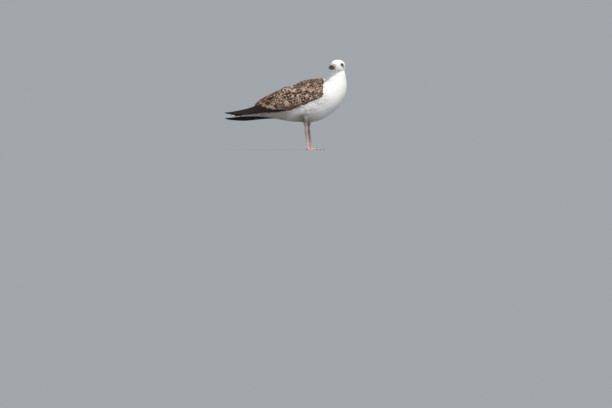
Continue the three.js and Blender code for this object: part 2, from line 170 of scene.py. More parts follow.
class Look:
    """A material and the nodes that make it."""

    def __init__(self, name, **constants):
        self.material = bpy.data.materials.new(name)
        self.material.use_nodes = True
        self.tree = self.material.node_tree
        self.shader = self.tree.nodes["Principled BSDF"]
        for socket, value in constants.items():
            self.shader.inputs[socket.replace("_", " ")].default_value = value

    def node(self, kind, settings=None, given=None, output=0):
        node = self.tree.nodes.new(kind)
        for name, value in (settings or {}).items():
            setattr(node, name, value)
        for key, value in (given or {}).items():
            self.feed(node.inputs[key], value)
        return Value(self, node.outputs[output])

    def feed(self, socket, value):
        if isinstance(value, Value):
            self.tree.links.new(value.socket, socket)
        elif socket.type == "RGBA" and len(value) == 3:
            socket.default_value = (*value, 1)
        else:
            socket.default_value = value

    def mix(self, share, first, second):
        settings = {"data_type": "RGBA"}
        return self.node("ShaderNodeMix", settings, {0: share, 6: first, 7: second}, 2)

    def shade(self, colour, amount):
        settings = {"operation": "SCALE"}
        return self.node("ShaderNodeVectorMath", settings, {0: colour, "Scale": amount})

    def split(self, vector):
        node = self.tree.nodes.new("ShaderNodeSeparateXYZ")
        self.feed(node.inputs[0], vector)
        return [Value(self, output) for output in node.outputs]

    def noise(self, place, scale, detail=2, roughness=0.5):
        given = {"Vector": place, "Scale": scale, "Detail": detail, "Roughness": roughness}
        return self.node("ShaderNodeTexNoise", None, given)

    def place(self):
        return self.node("ShaderNodeTexCoord", None, None, 3)

    def attribute(self, name):
        return self.node("ShaderNodeAttribute", {"attribute_name": name}, None, 1)

    def number(self, name):
        return self.node("ShaderNodeAttribute", {"attribute_name": name}, None, 2)

    def vane(self):
        """Across and along the feather, each from 0 to 1."""
        return self.split(self.node("ShaderNodeUVMap", {"uv_map": "Vane"}))[:2]

    def distance(self, place, centre):
        """How far a place is from a fixed one, in millimetres."""
        given = {0: place, 1: tuple(centre)}
        return self.node("ShaderNodeVectorMath", {"operation": "DISTANCE"}, given, 1) * 1000

    def finish(self, bump=None, **varying):
        """The material. bump is a height, a strength and a distance."""
        if bump:
            given = dict(zip(("Height", "Strength", "Distance"), bump))
            varying["Normal"] = self.node("ShaderNodeBump", None, given)
        for socket, value in varying.items():
            self.feed(self.shader.inputs[socket.replace("_", " ")], value)
        return self.material


WHITE = (0.87, 0.865, 0.85)
CREAM = (0.72, 0.64, 0.54)
FRINGE = (0.64, 0.52, 0.43)
BUFF = (0.26, 0.165, 0.11)
RUFOUS = (0.34, 0.155, 0.065)
BROWN = (0.13, 0.085, 0.06)
BLACKISH = (0.020, 0.015, 0.013)
GREY_BROWN = (0.30, 0.24, 0.20)
DUSKY = (0.085, 0.068, 0.060)
# the colour of the painted shade under the body, warm as if lit from the ground
UNDERSIDE_SHADE = (0.25, 0.19, 0.145)
LEG_PINK = (0.60, 0.38, 0.345)


def pale_plumage(look, place):
    """The colour of the pale plumage at a place: white, with the flank's and breast's spots, and
    painted shade under the belly, thighs and tail.
    """
    x, y, z = look.split(place)
    x = x * 1000 - DRAWN_AT[0]
    z = z * 1000
    y = abs(y * 1000 - DRAWN_AT[1])
    soft = look.noise(place, 26, 3)
    spots = look.noise(place, 120, 2, 0.6)
    dust = look.noise(place, 330, 2)
    colour = look.mix(soft.rise(0.45, 0.8) * 0.3, WHITE, CREAM)
    breast_side = x.near(62, 62) * z.near(236, 44) * y.rise(38, 62)
    flank = x.near(4, 92) * z.near(196, 36) * y.rise(34, 58)
    mottled = (breast_side.most(flank * 0.9) * spots.rise(0.37, 0.64)).least(1)
    colour = look.mix(mottled * 0.75, colour, GREY_BROWN)
    # painted shade, warm brown, under the belly, on the thighs and under the tail, broken up by
    # the spots
    below = (1 - z.rise(146, 205)) * x.near(-20, 175) * 0.8
    thigh = (1 - z.rise(160, 188)) * x.near(-12, 38)
    below = below.most(thigh * 0.95)
    below = below.most((-x).rise(10, 110) * (1 - z.rise(176, 206)) * 0.8)
    colour = look.mix(below * (0.75 + spots * 0.5), colour, UNDERSIDE_SHADE)
    nape = z.near(352, 52) * x.near(106, 34) * dust.rise(0.52, 0.66)
    colour = look.mix(nape * 0.2, colour, GREY_BROWN)
    bars = ((x * 0.42 + soft * 5).sine()).rise(0.35, 0.8)
    # painted shade: the thighs darkened further, as if in the body's shadow
    colour = look.shade(colour, 1 - thigh * 0.4)
    under_tail = (-x).rise(120, 190) * bars * spots.rise(0.45, 0.6)
    return look.mix(under_tail * 0.55, colour, BROWN)


def make_pale_feather():
    look = Look("pale plumage", Roughness=0.82, Specular_IOR_Level=0.25)
    across, along = look.vane()
    colour = pale_plumage(look, look.attribute("root"))
    tone = look.number("tone")
    edge = abs(across * 2 - 1)
    shade = 1 - (1 - edge) * 0.02 - (1 - along) * 0.08 - tone * 0.05
    barbs = ((along * 55 - edge * 26).sine() + (across * 90).sine() * 0.3) * 0.5
    colour = look.shade(colour, shade)
    return look.finish(Base_Color=colour, bump=(barbs, 0.15, 0.0002))


def make_face_feather():
    """The face and crown: the same white, with a dusky smudge round the eye."""
    look = Look("face plumage", Roughness=0.82, Specular_IOR_Level=0.25)
    root = look.attribute("root")
    colour = pale_plumage(look, root)
    colour = look.mix(eye_smudge(look, root), colour, DUSKY)
    tone = look.number("tone")
    along = look.vane()[1]
    shade = 1 - (1 - along) * 0.06 - tone * 0.04
    barbs = (along * 40).sine()
    return look.finish(
        Base_Color=look.shade(colour, shade), bump=(barbs, 0.15, 0.0002))


def eye_smudge(look, place):
    """Dusky feathers before the eye and in a crescent under and behind it, on both sides, and a
    spot at the gape that is partly dusky gape, partly painted shadow of the bill's base.
    """
    smudge = None
    for side in SIDES.values():
        for (f, l, u), reach, depth in (
            ((20, 28, 7.5), 9.5, 0.85), ((10.5, 31, 7.5), 12.8, 0.92), ((1, 31.5, 0), 10, 0.4),
            # the last spot, at the gape, is partly painted shadow of the bill's base
            ((-8, 31, -7), 15, 0.12), ((34, 15, -3), 6, 0.2),
        ):
            centre = in_head(f, side * l, u)
            patch = (1 - look.distance(place, centre).rise(reach * 0.6, reach)) * depth
            smudge = patch if smudge is None else smudge.most(patch)
    grain = look.noise(place, 420, 2)
    return smudge * (grain.rise(0.2, 0.6) * 0.35 + 0.65)


def make_down():
    """The skin under the feathers, in the plumage's own colours, a little shaded."""
    look = Look("down", Roughness=0.9, Specular_IOR_Level=0.2)
    place = look.place()
    colour = pale_plumage(look, place)
    colour = look.mix(eye_smudge(look, place), colour, DUSKY)
    dark = look.number("dark")
    fleck = look.noise(place, 160, 2)
    brown = look.mix(fleck.rise(0.4, 0.6), BLACKISH, BROWN)
    colour = look.mix(dark, colour, brown)
    return look.finish(
        Base_Color=look.shade(colour, 0.96), bump=(look.noise(place, 700), 0.2, 0.001))


def make_patterned_feather():
    """Back, shoulder and wing feathers: dark middles, pale notched fringes, pale bars."""
    look = Look("chequered feather", Roughness=0.7, Specular_IOR_Level=0.22)
    across, along = look.vane()
    notches, barred, paleness = look.split(look.attribute("pattern"))
    fringe, rufous, shaded = look.split(look.attribute("border"))
    tone = look.number("tone")
    place = look.place()
    ragged = look.noise(place, 230, 3, 0.6) - 0.5
    side = across * 2 - 1
    inwards = 1 - abs(side)
    from_tip = (1 - along) * 1.5
    border = inwards.least(from_tip)
    wave = (along * notches * 6.283 + tone * 6 + side * 0.7 + ragged * 2.4).sine()
    notch = wave.rise(0.05, 0.75) * 0.5 * (from_tip.rise(0.05, 0.2))
    # shaded holds the broad zones and the painted shade along the top of the back: it narrows and
    # darkens the pale fringes
    reach = fringe * (1 - shaded * 0.5) - shaded * 0.08
    reach = reach + notch * (1 - barred) * 0.6 + ragged * 0.3
    pale = 1 - (border - reach).rise(-0.06, 0.07)
    bars = wave.rise(0.25, 0.75) * barred * (from_tip.rise(0.02, 0.2))
    pale = pale.most(bars * 0.85).least(1) * (1 - shaded.most(0) * 0.35)
    dark = look.mix(tone.rise(0.5, 1) * 0.5 + barred * 0.25, BLACKISH, BROWN)
    ring = (border - reach).near(0.08, 0.10)
    dark = look.mix(ring * 0.55, dark, RUFOUS)
    light = look.mix(paleness, BUFF, FRINGE)
    light = look.mix(rufous * 0.6, light, RUFOUS)
    worn = 1 - look.noise(place, 900, 2) * 0.3
    colour = look.shade(look.mix(pale, dark, light), worn)
    shaft = 1 - inwards.rise(0.93, 0.985)
    colour = look.shade(colour, shaft * 0.45 + 0.55)
    barbs = (along * 150 - abs(side) * 60).sine()
    return look.finish(Base_Color=colour, bump=(barbs, 0.35, 0.0003))


def make_flight_feather():
    """Primaries and secondaries: blackish brown with thin paler edges and worn tips."""
    look = Look("flight feather", Roughness=0.62, Specular_IOR_Level=0.1)
    across, along = look.vane()
    tone = look.number("tone")
    side = across * 2 - 1
    inwards = 1 - abs(side)
    from_tip = 1 - along
    grain = look.noise(look.place(), 240, 3)
    edge = 1 - (inwards.least(from_tip * 5) + grain * 0.08).rise(0.04, 0.1)
    colour = look.mix(grain * 0.06 + tone * 0.06, (0.012, 0.0095, 0.009), BROWN)
    colour = look.mix(edge * (0.06 + tone * 0.2), colour, BUFF)
    shaft = 1 - inwards.rise(0.93, 0.985) * 0.5
    barbs = (along * 330 - abs(side) * 40).sine()
    return look.finish(
        Base_Color=look.shade(colour, shaft), bump=(barbs, 0.3, 0.0003))


def make_tail_feather():
    """White darkened to a buff grey as painted shade from the wings, with a ragged blackish band
    before a thin pale tip, and small bars at the edge.
    """
    look = Look("tail feather", Roughness=0.7, Specular_IOR_Level=0.3)
    across, along = look.vane()
    tone = look.number("tone")
    side = across * 2 - 1
    grain = look.noise(look.place(), 160, 3, 0.6)
    start = along + (grain - 0.5) * 0.16 + (tone - 0.5) * 0.05
    band = start.rise(0.70, 0.78) * (1 - start.rise(0.94, 0.975))
    bars = ((along * 95 + tone * 9).sine().rise(0.35, 0.8)) * along.near(0.62, 0.2)
    bars = bars * abs(side).rise(0.25, 0.6) * grain.rise(0.35, 0.55)
    # the base colour is white darkened as painted shade from the wings above
    colour = look.mix((band + bars).least(1), (0.64, 0.585, 0.51), BLACKISH)
    shaft = (1 - abs(side)).rise(0.93, 0.985)
    colour = look.mix(shaft * 0.5, colour, BROWN)
    barbs = (along * 300 - abs(side) * 40).sine()
    return look.finish(Base_Color=colour, bump=(barbs, 0.25, 0.0003))


def make_leg_skin():
    look = Look("leg skin", Roughness=0.48, Specular_IOR_Level=0.45, Subsurface_Weight=0.12,
                Subsurface_Radius=(0.004, 0.0015, 0.001), Subsurface_Scale=1.0)
    place = look.place()
    height = look.split(place)[2] * 1000
    flush = look.noise(place, 90, 3)
    fine = look.noise(place, 620, 2)
    colour = look.mix(flush.rise(0.3, 0.7), LEG_PINK, (0.58, 0.42, 0.38))
    # painted shade: the upper legs darkened to brown-grey, as if in the body's shadow
    upper = height.rise(22, 75) * 0.75
    colour = look.mix(upper, colour, (0.30, 0.20, 0.18))
    web = 1 - height.rise(1.2, 3.2)
    colour = look.mix(web * 0.45, colour, (0.72, 0.33, 0.27))
    colour = look.shade(colour, 0.86 + fine * 0.22)
    plates = look.node("ShaderNodeTexVoronoi", {"feature": "DISTANCE_TO_EDGE"},
                       {"Vector": place, "Scale": 420})
    bands = ((height * 1.9 + flush * 5).sine() + 1).rise(0, 0.5)
    on_shank = height.rise(12, 20)
    creases = plates.rise(0, 0.12) * (1 - on_shank * 0.5) + bands * on_shank * 0.5
    return look.finish(Base_Color=colour, Roughness=0.4 + fine * 0.25,
                       bump=(creases, 0.35, 0.0006))


def make_eyelid():
    look = Look("eyelid", Roughness=0.5, Specular_IOR_Level=0.4)
    grain = look.noise(look.place(), 900, 2)
    colour = look.mix(grain, (0.055, 0.042, 0.038), (0.12, 0.095, 0.085))
    return look.finish(Base_Color=colour, bump=(grain, 0.3, 0.0003))


def make_bill_horn():
    """Pink at the base, black in the outer half, with a small pale tip."""
    look = Look("bill horn", Specular_IOR_Level=0.35, Coat_Roughness=0.2)
    place = look.place()
    distance = look.distance(place, in_head(0, 0, 0))
    grain = look.noise(place, 150, 3)
    fine = look.noise(place, 800, 2)
    # the black reaches further back lower on the bill: partly the young bird's dusky lower
    # mandible, partly painted shade under the bill
    down = (HEAD_CENTRE[2] - look.split(place)[2] * 1000) * 0.95
    reach = distance + down.most(-4).least(9) + (grain - 0.5) * 8
    black = reach.rise(51, 63)
    tip = distance.rise(90, 97)
    base = look.mix(grain.rise(0.3, 0.7), (0.60, 0.34, 0.28), (0.42, 0.29, 0.25))
    colour = look.mix(black, base, (0.013, 0.011, 0.011))
    colour = look.mix(tip * 0.6, colour, (0.40, 0.31, 0.26))
    return look.finish(Base_Color=look.shade(colour, 0.9 + fine * 0.2),
                       Roughness=0.28 + fine * 0.16, Coat_Weight=black * 0.15,
                       bump=(fine, 0.12, 0.0004))


def make_eye(name):
    """A dark brown iris round a black pupil, under a clear wet coat."""
    side = SIDES[name]
    look = Look("eye " + name, Roughness=0.05, Specular_IOR_Level=0.35, Coat_Weight=0.3,
                Coat_Roughness=0.02)
    f, l, u = EYE_PLACE
    reach = look.distance(look.place(), in_head(f, side * (l + EYE_RADIUS), u))
    rays = look.noise(look.place(), 1500, 2)
    iris = look.mix(rays, (0.008, 0.005, 0.003), (0.026, 0.014, 0.008))
    colour = look.mix(reach.rise(2.6, 3.1), (0.002, 0.002, 0.002), iris)
    colour = look.mix(reach.rise(5.4, 6.0), colour, (0.006, 0.004, 0.003))
    return look.finish(Base_Color=colour)


def make_claw_horn():
    look = Look("claw horn", Roughness=0.35, Specular_IOR_Level=0.5)
    place = look.place()
    grain = look.noise(place, 500, 3)
    colour = look.mix(grain, (0.020, 0.016, 0.014), (0.075, 0.058, 0.048))
    return look.finish(Base_Color=colour, Roughness=0.28 + grain * 0.2,
                       bump=(grain, 0.2, 0.0003))


# ---------------------------------------------------------------- meshes from solids


def link(name, mesh, *materials):
    piece = bpy.data.objects.new(name, mesh)
    bpy.context.scene.collection.objects.link(piece)
    for material in materials:
        mesh.materials.append(material)
    return piece


def copy_of(nodes, grow=0.0, ends=None, balls=()):
    """The solids as one mesh, merged, and grown a little so that their gaps close.

    ends says how far back a solid goes: what lies behind that is pushed flat against it.
    balls are added, as places and radii, where a joint needs filling.
    """
    bm = bmesh.new()
    for name in nodes:
        first = len(bm.verts)
        bm.from_mesh(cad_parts[name].data)
        bm.verts.ensure_lookup_table()
        end = at((ends or {}).get(name, -1000), 0, 0)[0]
        for vert in bm.verts[first:]:
            vert.co.x = max(vert.co.x, end)
    bmesh.ops.remove_doubles(bm, verts=bm.verts, dist=1e-6)
    bmesh.ops.recalc_face_normals(bm, faces=bm.faces)
    bm.normal_update()
    for vert in bm.verts:
        vert.co += vert.normal * grow * MM
    for place, radius in balls:
        bmesh.ops.create_icosphere(bm, subdivisions=3, radius=radius * MM,
                                   matrix=Matrix.Translation(at(*place)))
    mesh = bpy.data.meshes.new("copy")
    bm.to_mesh(mesh)
    bm.free()
    return mesh


def remeshed(mesh, voxel, smoothing):
    """One closed even mesh round all of mesh, smoothed, as a bmesh."""
    carrier = link("carrier", mesh)
    remesh = carrier.modifiers.new("even", "REMESH")
    remesh.mode = "VOXEL"
    remesh.voxel_size = voxel * MM
    graph = bpy.context.evaluated_depsgraph_get()
    even = bpy.data.meshes.new_from_object(carrier.evaluated_get(graph))
    bpy.data.objects.remove(carrier)
    bm = bmesh.new()
    bm.from_mesh(even)
    keep_largest(bm)
    relax(bm, smoothing)
    bm.normal_update()
    bpy.data.meshes.remove(even)
    return bm


def relax(bm, times):
    for _ in range(times):
        bmesh.ops.smooth_vert(bm, verts=bm.verts, factor=0.5, use_axis_x=True,
                              use_axis_y=True, use_axis_z=True)


def keep_largest(bm):
    """Drops the small closed shells that a remesh leaves inside narrow gaps."""
    bm.verts.ensure_lookup_table()
    seen = set()
    shells = []
    for start in bm.verts:
        if start in seen:
            continue
        shell = [start]
        seen.add(start)
        for vert in shell:
            for edge in vert.link_edges:
                other = edge.other_vert(vert)
                if other not in seen:
                    seen.add(other)
                    shell.append(other)
        shells.append(shell)
    largest = max(shells, key=len)
    extra = [vert for shell in shells if shell is not largest for vert in shell]
    bmesh.ops.delete(bm, geom=extra, context="VERTS")


def mesh_of(bm, name):
    """The bmesh as a smooth mesh, held inside the solids' box."""
    for face in bm.faces:
        face.smooth = True
    mesh = bpy.data.meshes.new(name)
    bm.to_mesh(mesh)
    bm.free()
    held = np.clip(points_of(mesh), BOX_LOW, BOX_HIGH)
    mesh.vertices.foreach_set("co", held.ravel())
    return mesh


def points_of(mesh):
    points = np.empty(len(mesh.vertices) * 3)
    mesh.vertices.foreach_get("co", points)
    return points.reshape(-1, 3)


def tree_of(mesh):
    faces = [tuple(face.vertices) for face in mesh.polygons]
    return BVHTree.FromPolygons(points_of(mesh).tolist(), faces)


def normals_of(mesh):
    normals = np.empty(len(mesh.vertices) * 3)
    mesh.vertex_normals.foreach_get("vector", normals)
    return normals.reshape(-1, 3)


class Surface:
    """A closed form that feathers are laid on."""

    def __init__(self, mesh):
        self.mesh = mesh
        self.points = points_of(mesh)
        self.normals = normals_of(mesh)
        self.tree = tree_of(mesh)
        self.facing = np.array(
            [self.normals[list(face.vertices)].mean(axis=0) for face in mesh.polygons])

    def nearest(self, points):
        """The nearest places on the form, and the directions out of it there."""
        hits = [self.tree.find_nearest(point) for point in points.tolist()]
        places = np.array([tuple(hit[0]) for hit in hits])
        faces = [hit[2] for hit in hits]
        return places, unit(self.facing[faces])


# ---------------------------------------------------------------- the lie of the coat

SPINE_POINTS = np.array([at(*point) for point in SPINE])
SPINE_STEPS = np.diff(SPINE_POINTS, axis=0)
SPINE_LENGTHS = np.linalg.norm(SPINE_STEPS, axis=1)
SPINE_STARTS = np.concatenate(([0], np.cumsum(SPINE_LENGTHS)[:-1]))
SPINE_WAYS = unit(SPINE_STEPS)


def along_spine(points):
    """How near each point is to each length of the spine, and how far along it lies."""
    offsets = points[:, None, :] - SPINE_POINTS[None, :-1, :]
    shares = np.einsum("pij,ij->pi", offsets, SPINE_STEPS) / SPINE_LENGTHS**2
    shares = np.clip(shares, 0, 1)
    feet = SPINE_POINTS[None, :-1] + shares[..., None] * SPINE_STEPS[None]
    distances = np.linalg.norm(points[:, None, :] - feet, axis=2)
    return shares, feet, distances


def lie(points, normals):
    """The way that feathers point at each place, along the surface."""
    _, _, distances = along_spine(points)
    weights = (distances + 0.004) ** -5
    weights /= weights.sum(axis=1, keepdims=True)
    ways = weights @ SPINE_WAYS
    down_leg = smooth(136 - drawn(points)[:, 2:], 0, 12)
    ways = ways * (1 - down_leg) + np.array((-0.1, 0, -1)) * down_leg
    ways = ways - normals * (ways * normals).sum(axis=1, keepdims=True)
    return unit(ways)


def unwrapped(points):
    """The skin's own shape laid flat: how far along the bird, and how far round it."""
    shares, feet, distances = along_spine(points)
    nearest = distances.argmin(axis=1)
    rows = np.arange(len(points))
    way = SPINE_WAYS[nearest]
    out = points - feet[rows, nearest]
    side = unit(np.cross(way, np.array((0.0, 0.0, 1.0))) + np.array((0.0, 1e-6, 0.0)))
    top = np.cross(side, way)
    angle = np.arctan2((out * side).sum(axis=1), (out * top).sum(axis=1))
    length = SPINE_STARTS[nearest] + shares[rows, nearest] * SPINE_LENGTHS[nearest]
    return np.stack((length, angle), axis=1)


def fitted(flat):
    """Places on an unwrap, spread over the whole map with a small border."""
    low = flat.min(axis=0)
    size = np.maximum(flat.max(axis=0) - low, 1e-6)
    return 0.02 + 0.96 * (flat - low) / size


# ---------------------------------------------------------------- feathers as vanes

TUFT_PATCH = 0.003  # a small feather's width on its map


def rounded(share):
    """Half the breadth of a blunt feather along its length."""
    rising = 0.5 + 0.5 * np.minimum(share / 0.4, 1) ** 0.8
    falling = np.sqrt(np.clip(1 - ((share - 0.66) / 0.35) ** 2, 0, 1))
    return np.where(share > 0.66, falling, rising)


def pointed(share):
    """Half the breadth of a long narrow feather that tapers to its tip."""
    rising = 0.5 + 0.5 * np.minimum(share / 0.35, 1)
    falling = np.clip(1 - (np.maximum(share - 0.5, 0) / 0.51) ** 2.2, 0, 1) ** 0.8
    return np.where(share > 0.5, falling, rising)


def weave(name, material, centres, across, out, breadths, camber, thickness,
          columns, flat, roots, attributes, patch=TUFT_PATCH):
    """Feathers as one mesh of closed vanes.

    centres, across and out hold, for each feather, a point and two directions at the root,
    at each station and at the tip. breadths holds half the breadth at each station. camber and
    thickness are in millimetres, and columns is how many points lie across a vane.
    """
    camber, thickness = camber * MM, thickness * MM
    count, stations = centres.shape[:2]
    stations -= 2
    sides = np.linspace(-1, 1, columns)
    inner = sides[1:-1][::-1]
    ring_sides = np.concatenate((sides, inner))
    ring_lifts = np.concatenate((1 - sides**2, 1 - inner**2))
    ring_down = np.concatenate((np.zeros(columns), 1 - inner**2)) ** 0.5
    ring = len(ring_sides)
    middle = slice(1, -1)
    spread = breadths[:, :, None] * ring_sides
    raised = camber * ring_lifts * np.minimum(1, breadths / 0.002)[:, :, None]
    lifted = raised - thickness * ring_down
    body = (
        centres[:, middle, None, :]
        + across[:, middle, None, :] * spread[..., None]
        + out[:, middle, None, :] * lifted[..., None]
    )
    verts = np.concatenate(
        (centres[:, :1], body.reshape(count, -1, 3), centres[:, -1:]), axis=1)
    per_feather = verts.shape[1]
    vane_across = np.concatenate(([0.5], np.tile((ring_sides + 1) / 2, stations), [0.5]))
    vane_along = np.concatenate(([0], np.repeat(attributes["stations"], ring), [1]))
    corners, starts = vane_faces(stations, ring)
    total = len(corners)
    loops = (np.arange(count)[:, None] * per_feather + corners).ravel()
    begins = (np.arange(count)[:, None] * total + starts).ravel()

    mesh = bpy.data.meshes.new(name)
    mesh.vertices.add(count * per_feather)
    held = np.clip(verts.reshape(-1, 3), BOX_LOW, BOX_HIGH)
    mesh.vertices.foreach_set("co", held.ravel())
    mesh.loops.add(len(loops))
    mesh.loops.foreach_set("vertex_index", loops)
    mesh.polygons.add(len(begins))
    mesh.polygons.foreach_set("loop_start", begins)
    mesh.update(calc_edges=True)
    mesh.polygons.foreach_set("use_smooth", np.ones(len(begins), bool))
    sharpen_rims(mesh, per_feather, ring, columns)

    vane = np.stack((vane_across, vane_along), axis=1)
    size = np.broadcast_to(patch, (count, 2))
    places = flat[:, None, :] + (vane[None] - 0.5) * size[:, None, :]
    baked = mesh.uv_layers.new(name="OFBake")
    baked.uv.foreach_set("vector", places.reshape(-1, 2)[loops].ravel())
    drawn_on = mesh.uv_layers.new(name="Vane")
    drawn_on.uv.foreach_set("vector", np.tile(vane, (count, 1))[loops].ravel())
    for key, values in (*attributes.items(), ("root", roots)):
        if key != "stations":
            kind, field = ("FLOAT_VECTOR", "vector") if values.ndim == 2 else ("FLOAT", "value")
            layer = mesh.attributes.new(key, kind, "POINT")
            layer.data.foreach_set(field, np.repeat(values, per_feather, axis=0).ravel())
    mesh.validate()
    piece = link(name, mesh, material)
    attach(piece, "root")
    return piece


def sharpen_rims(mesh, per_feather, ring, columns):
    """Marks the edges down both sides of each vane, so that its upper side looks flat."""
    ends = np.empty(len(mesh.edges) * 2, int)
    mesh.edges.foreach_get("vertices", ends)
    ends = ends.reshape(-1, 2) % per_feather
    pole = (ends == 0) | (ends == per_feather - 1)
    place = (ends - 1) % ring
    rim = pole | (place == 0) | (place == columns - 1)
    level = ~pole.any(axis=1) & (np.abs(ends[:, 0] - ends[:, 1]) < ring)
    mesh.edges.foreach_set("use_edge_sharp", rim.all(axis=1) & ~level)


def vane_faces(stations, ring):
    """The corners of one vane's faces, and where each face begins."""
    corners, starts = [], []

    def face(*indices):
        starts.append(len(corners))
        corners.extend(indices)

    tip = 1 + stations * ring
    for i in range(ring):
        j = (i + 1) % ring
        face(0, 1 + i, 1 + j)
        for station in range(stations - 1):
            here = 1 + station * ring
            face(here + i, here + ring + i, here + ring + j, here + j)
        last = 1 + (stations - 1) * ring
        face(tip, last + j, last + i)
    return np.array(corners), np.array(starts)


def walk(surface, roots, normals, ways, lengths, shares, sink, lift, rise=2.2):
    """Lays each feather along the surface from its root, and returns its line.

    sink and lift are how deep its root is and how high its tip, in metres.
    """
    places, facing, heading = roots, normals, ways
    centres, across, out = [], [], []
    before = 0.0
    for share in shares:
        if share > before:
            step = lengths[:, None] * (share - before)
            places, facing = surface.nearest(places + heading * step)
            heading = heading - facing * (heading * facing).sum(axis=1, keepdims=True)
            heading = unit(heading)
            before = share
        height = -sink * (1 - share) ** rise + lift * share**2
        centres.append(places + facing * height[:, None])
        across.append(unit(np.cross(facing, heading)))
        out.append(facing)
    return np.stack(centres, 1), np.stack(across, 1), np.stack(out, 1)


def turned(ways, normals, angles):
    """Directions turned about the normals."""
    sideways = np.cross(normals, ways)
    return ways * np.cos(angles)[:, None] + sideways * np.sin(angles)[:, None]


def scatter(surface, keep, spacing, density, rng):
    """Roots over the part of the surface that keep allows, at least spacing apart."""
    mesh = surface.mesh
    mesh.calc_loop_triangles()
    triangles = np.empty(len(mesh.loop_triangles) * 3, int)
    mesh.loop_triangles.foreach_get("vertices", triangles)
    triangles = triangles.reshape(-1, 3)
    corners = surface.points[triangles]
    triangles = triangles[keep(corners.mean(axis=1))]
    corners = surface.points[triangles]
    sides = np.cross(corners[:, 1] - corners[:, 0], corners[:, 2] - corners[:, 0])
    areas = np.linalg.norm(sides, axis=1) / 2
    wanted = areas * density / spacing(corners.mean(axis=1)) ** 2
    picks = rng.choice(len(areas), int(wanted.sum()), p=wanted / wanted.sum())
    a, b = rng.random((2, len(picks)))
    flip = a + b > 1
    a[flip], b[flip] = 1 - a[flip], 1 - b[flip]
    found = corners[picks]
    points = found[:, 0] + a[:, None] * (found[:, 1] - found[:, 0])
    points += b[:, None] * (found[:, 2] - found[:, 0])
    points = points[thinned(points, spacing(points))]
    _, normals = surface.nearest(points)
    return points, normals


def thinned(points, gaps):
    """The indices of points that keep their distance from those before them."""
    cell = gaps.max()
    cells = np.floor(points / cell).astype(int)
    held = {}
    chosen = []
    near = [(i, j, k) for i in (-1, 0, 1) for j in (-1, 0, 1) for k in (-1, 0, 1)]
    rows = points.tolist()
    for index, (place, gap, key) in enumerate(zip(rows, gaps.tolist(), cells.tolist())):
        if not any(
            (place[0] - other[0]) ** 2 + (place[1] - other[1]) ** 2
            + (place[2] - other[2]) ** 2 < gap * gap
            for i, j, k in near
            for other in held.get((key[0] + i, key[1] + j, key[2] + k), ())
        ):
            held.setdefault(tuple(key), []).append(place)
            chosen.append(index)
    return chosen


# ---------------------------------------------------------------- the skin

FLESH = ["trunk", "neck", "head", "tail", "thigh_left", "thigh_right", "wing_left", "wing_right"]
FLESH_ENDS = {"wing_left": -258, "wing_right": -258, "tail": -318}  # only quills go further
BARE_BELOW = 132  # the height at which the legs' bare skin begins
SHANKS = {"left": (0.8, 35), "right": (-14, -35)}  # x and y between thigh and ankle
LEG_NODES = {name: [f"tarsus_{name}", f"foot_{name}"] for name in SIDES}


def head_place(points):
    """Places in the frame as f, l and u in the head, in millimetres."""
    matrix = np.array(HEAD_BACK)
    return (points @ matrix[:3, :3].T + matrix[:3, 3]) / MM


def coat_depth(points):
    """How deep the coat is, in metres: least on the face."""
    head = head_place(points)
    from_bill = np.linalg.norm(head - np.array((46, 0, 0)), axis=1)
    depth = 1.2 + 1.8 * smooth(from_bill, 15, 75) + 1.2 * smooth(from_bill, 75, 140)
    depth -= 2.4 * smooth(-drawn(points)[:, 0], 130, 230)
    return depth * MM


def droop(x, y):
    """How much lower than the right wing the left one hangs, in millimetres."""
    return np.where(y > 0, LEFT_WING_DROOP * smooth(-x, -90, 180), 0)


def wing_share(points):
    """1 where the body is covered by the dark feathers of the back and the wings."""
    x, y, z = drawn(points).T
    edge = np.interp(x, (-405, -240, -125, -75, -25, 25, 60, 84, 96),
                     (169, 174, 181, 190, 208, 229, 247, 268, 330))
    above = smooth(z - (edge - droop(x, y)), -2, 4)
    return above * smooth(80 - x, -3, 4)


def make_form(grow=0.6, voxel=SKIN_VOXEL, smoothing=4):
    """The outer form of the body with its coat, smooth and without gaps."""
    bm = remeshed(copy_of(FLESH, grow, FLESH_ENDS), voxel, smoothing)
    return Surface(mesh_of(bm, "form"))


def sunk(form):
    """The form's points moved inwards by the coat's depth, or less where the form is thin."""
    depths = coat_depth(form.points)
    moved = form.points.copy()
    sockets = 5 * MM * (1 - smooth(near_eye(form.points), 5.6, 8.2))
    for i, (point, normal) in enumerate(zip(form.points.tolist(), form.normals.tolist())):
        start = Vector(point) - Vector(normal) * 1e-5
        hit = form.tree.ray_cast(start, -Vector(normal), 0.03)
        room = hit[3] if hit[0] is not None else 0.03
        moved[i] -= np.array(normal) * (min(depths[i], room * 0.4) + sockets[i])
    return moved


def lid_ring(bm, side):
    """Swollen lids round the eye, as a closed ring in the skin."""
    f, l, u = EYE_PLACE
    steps, around = 48, 12
    rings = []
    for i in range(steps):
        angle = math.tau * i / steps
        corner = 0.7 * math.cos(angle) ** 8
        ring = []
        for j in range(around):
            turn = math.tau * j / around
            reach = EYE_OPENING + corner + 1.25 + 1.15 * math.cos(turn)
            rise = 0.5 * (1 - math.cos(turn))  # 0 at the outer rim, 1 at the inner one
            ball = math.sqrt(EYE_RADIUS**2 - min(reach, 6.6) ** 2)
            height = ball + 0.15 + 1.5 * rise * (1 - rise)
            height += math.sin(turn) * (0.7 if math.sin(turn) > 0 else 3.2)
            ring.append(bm.verts.new(in_head(
                f + reach * math.cos(angle), side * (l + height),
                u + reach * 0.92 * math.sin(angle))))
        rings.append(ring)
    faces = []
    for i in range(steps):
        a, b = rings[i], rings[(i + 1) % steps]
        for j in range(around):
            k = (j + 1) % around
            faces.append(bm.faces.new((a[j], a[k], b[k], b[j])))
    bmesh.ops.recalc_face_normals(bm, faces=faces)
    return faces


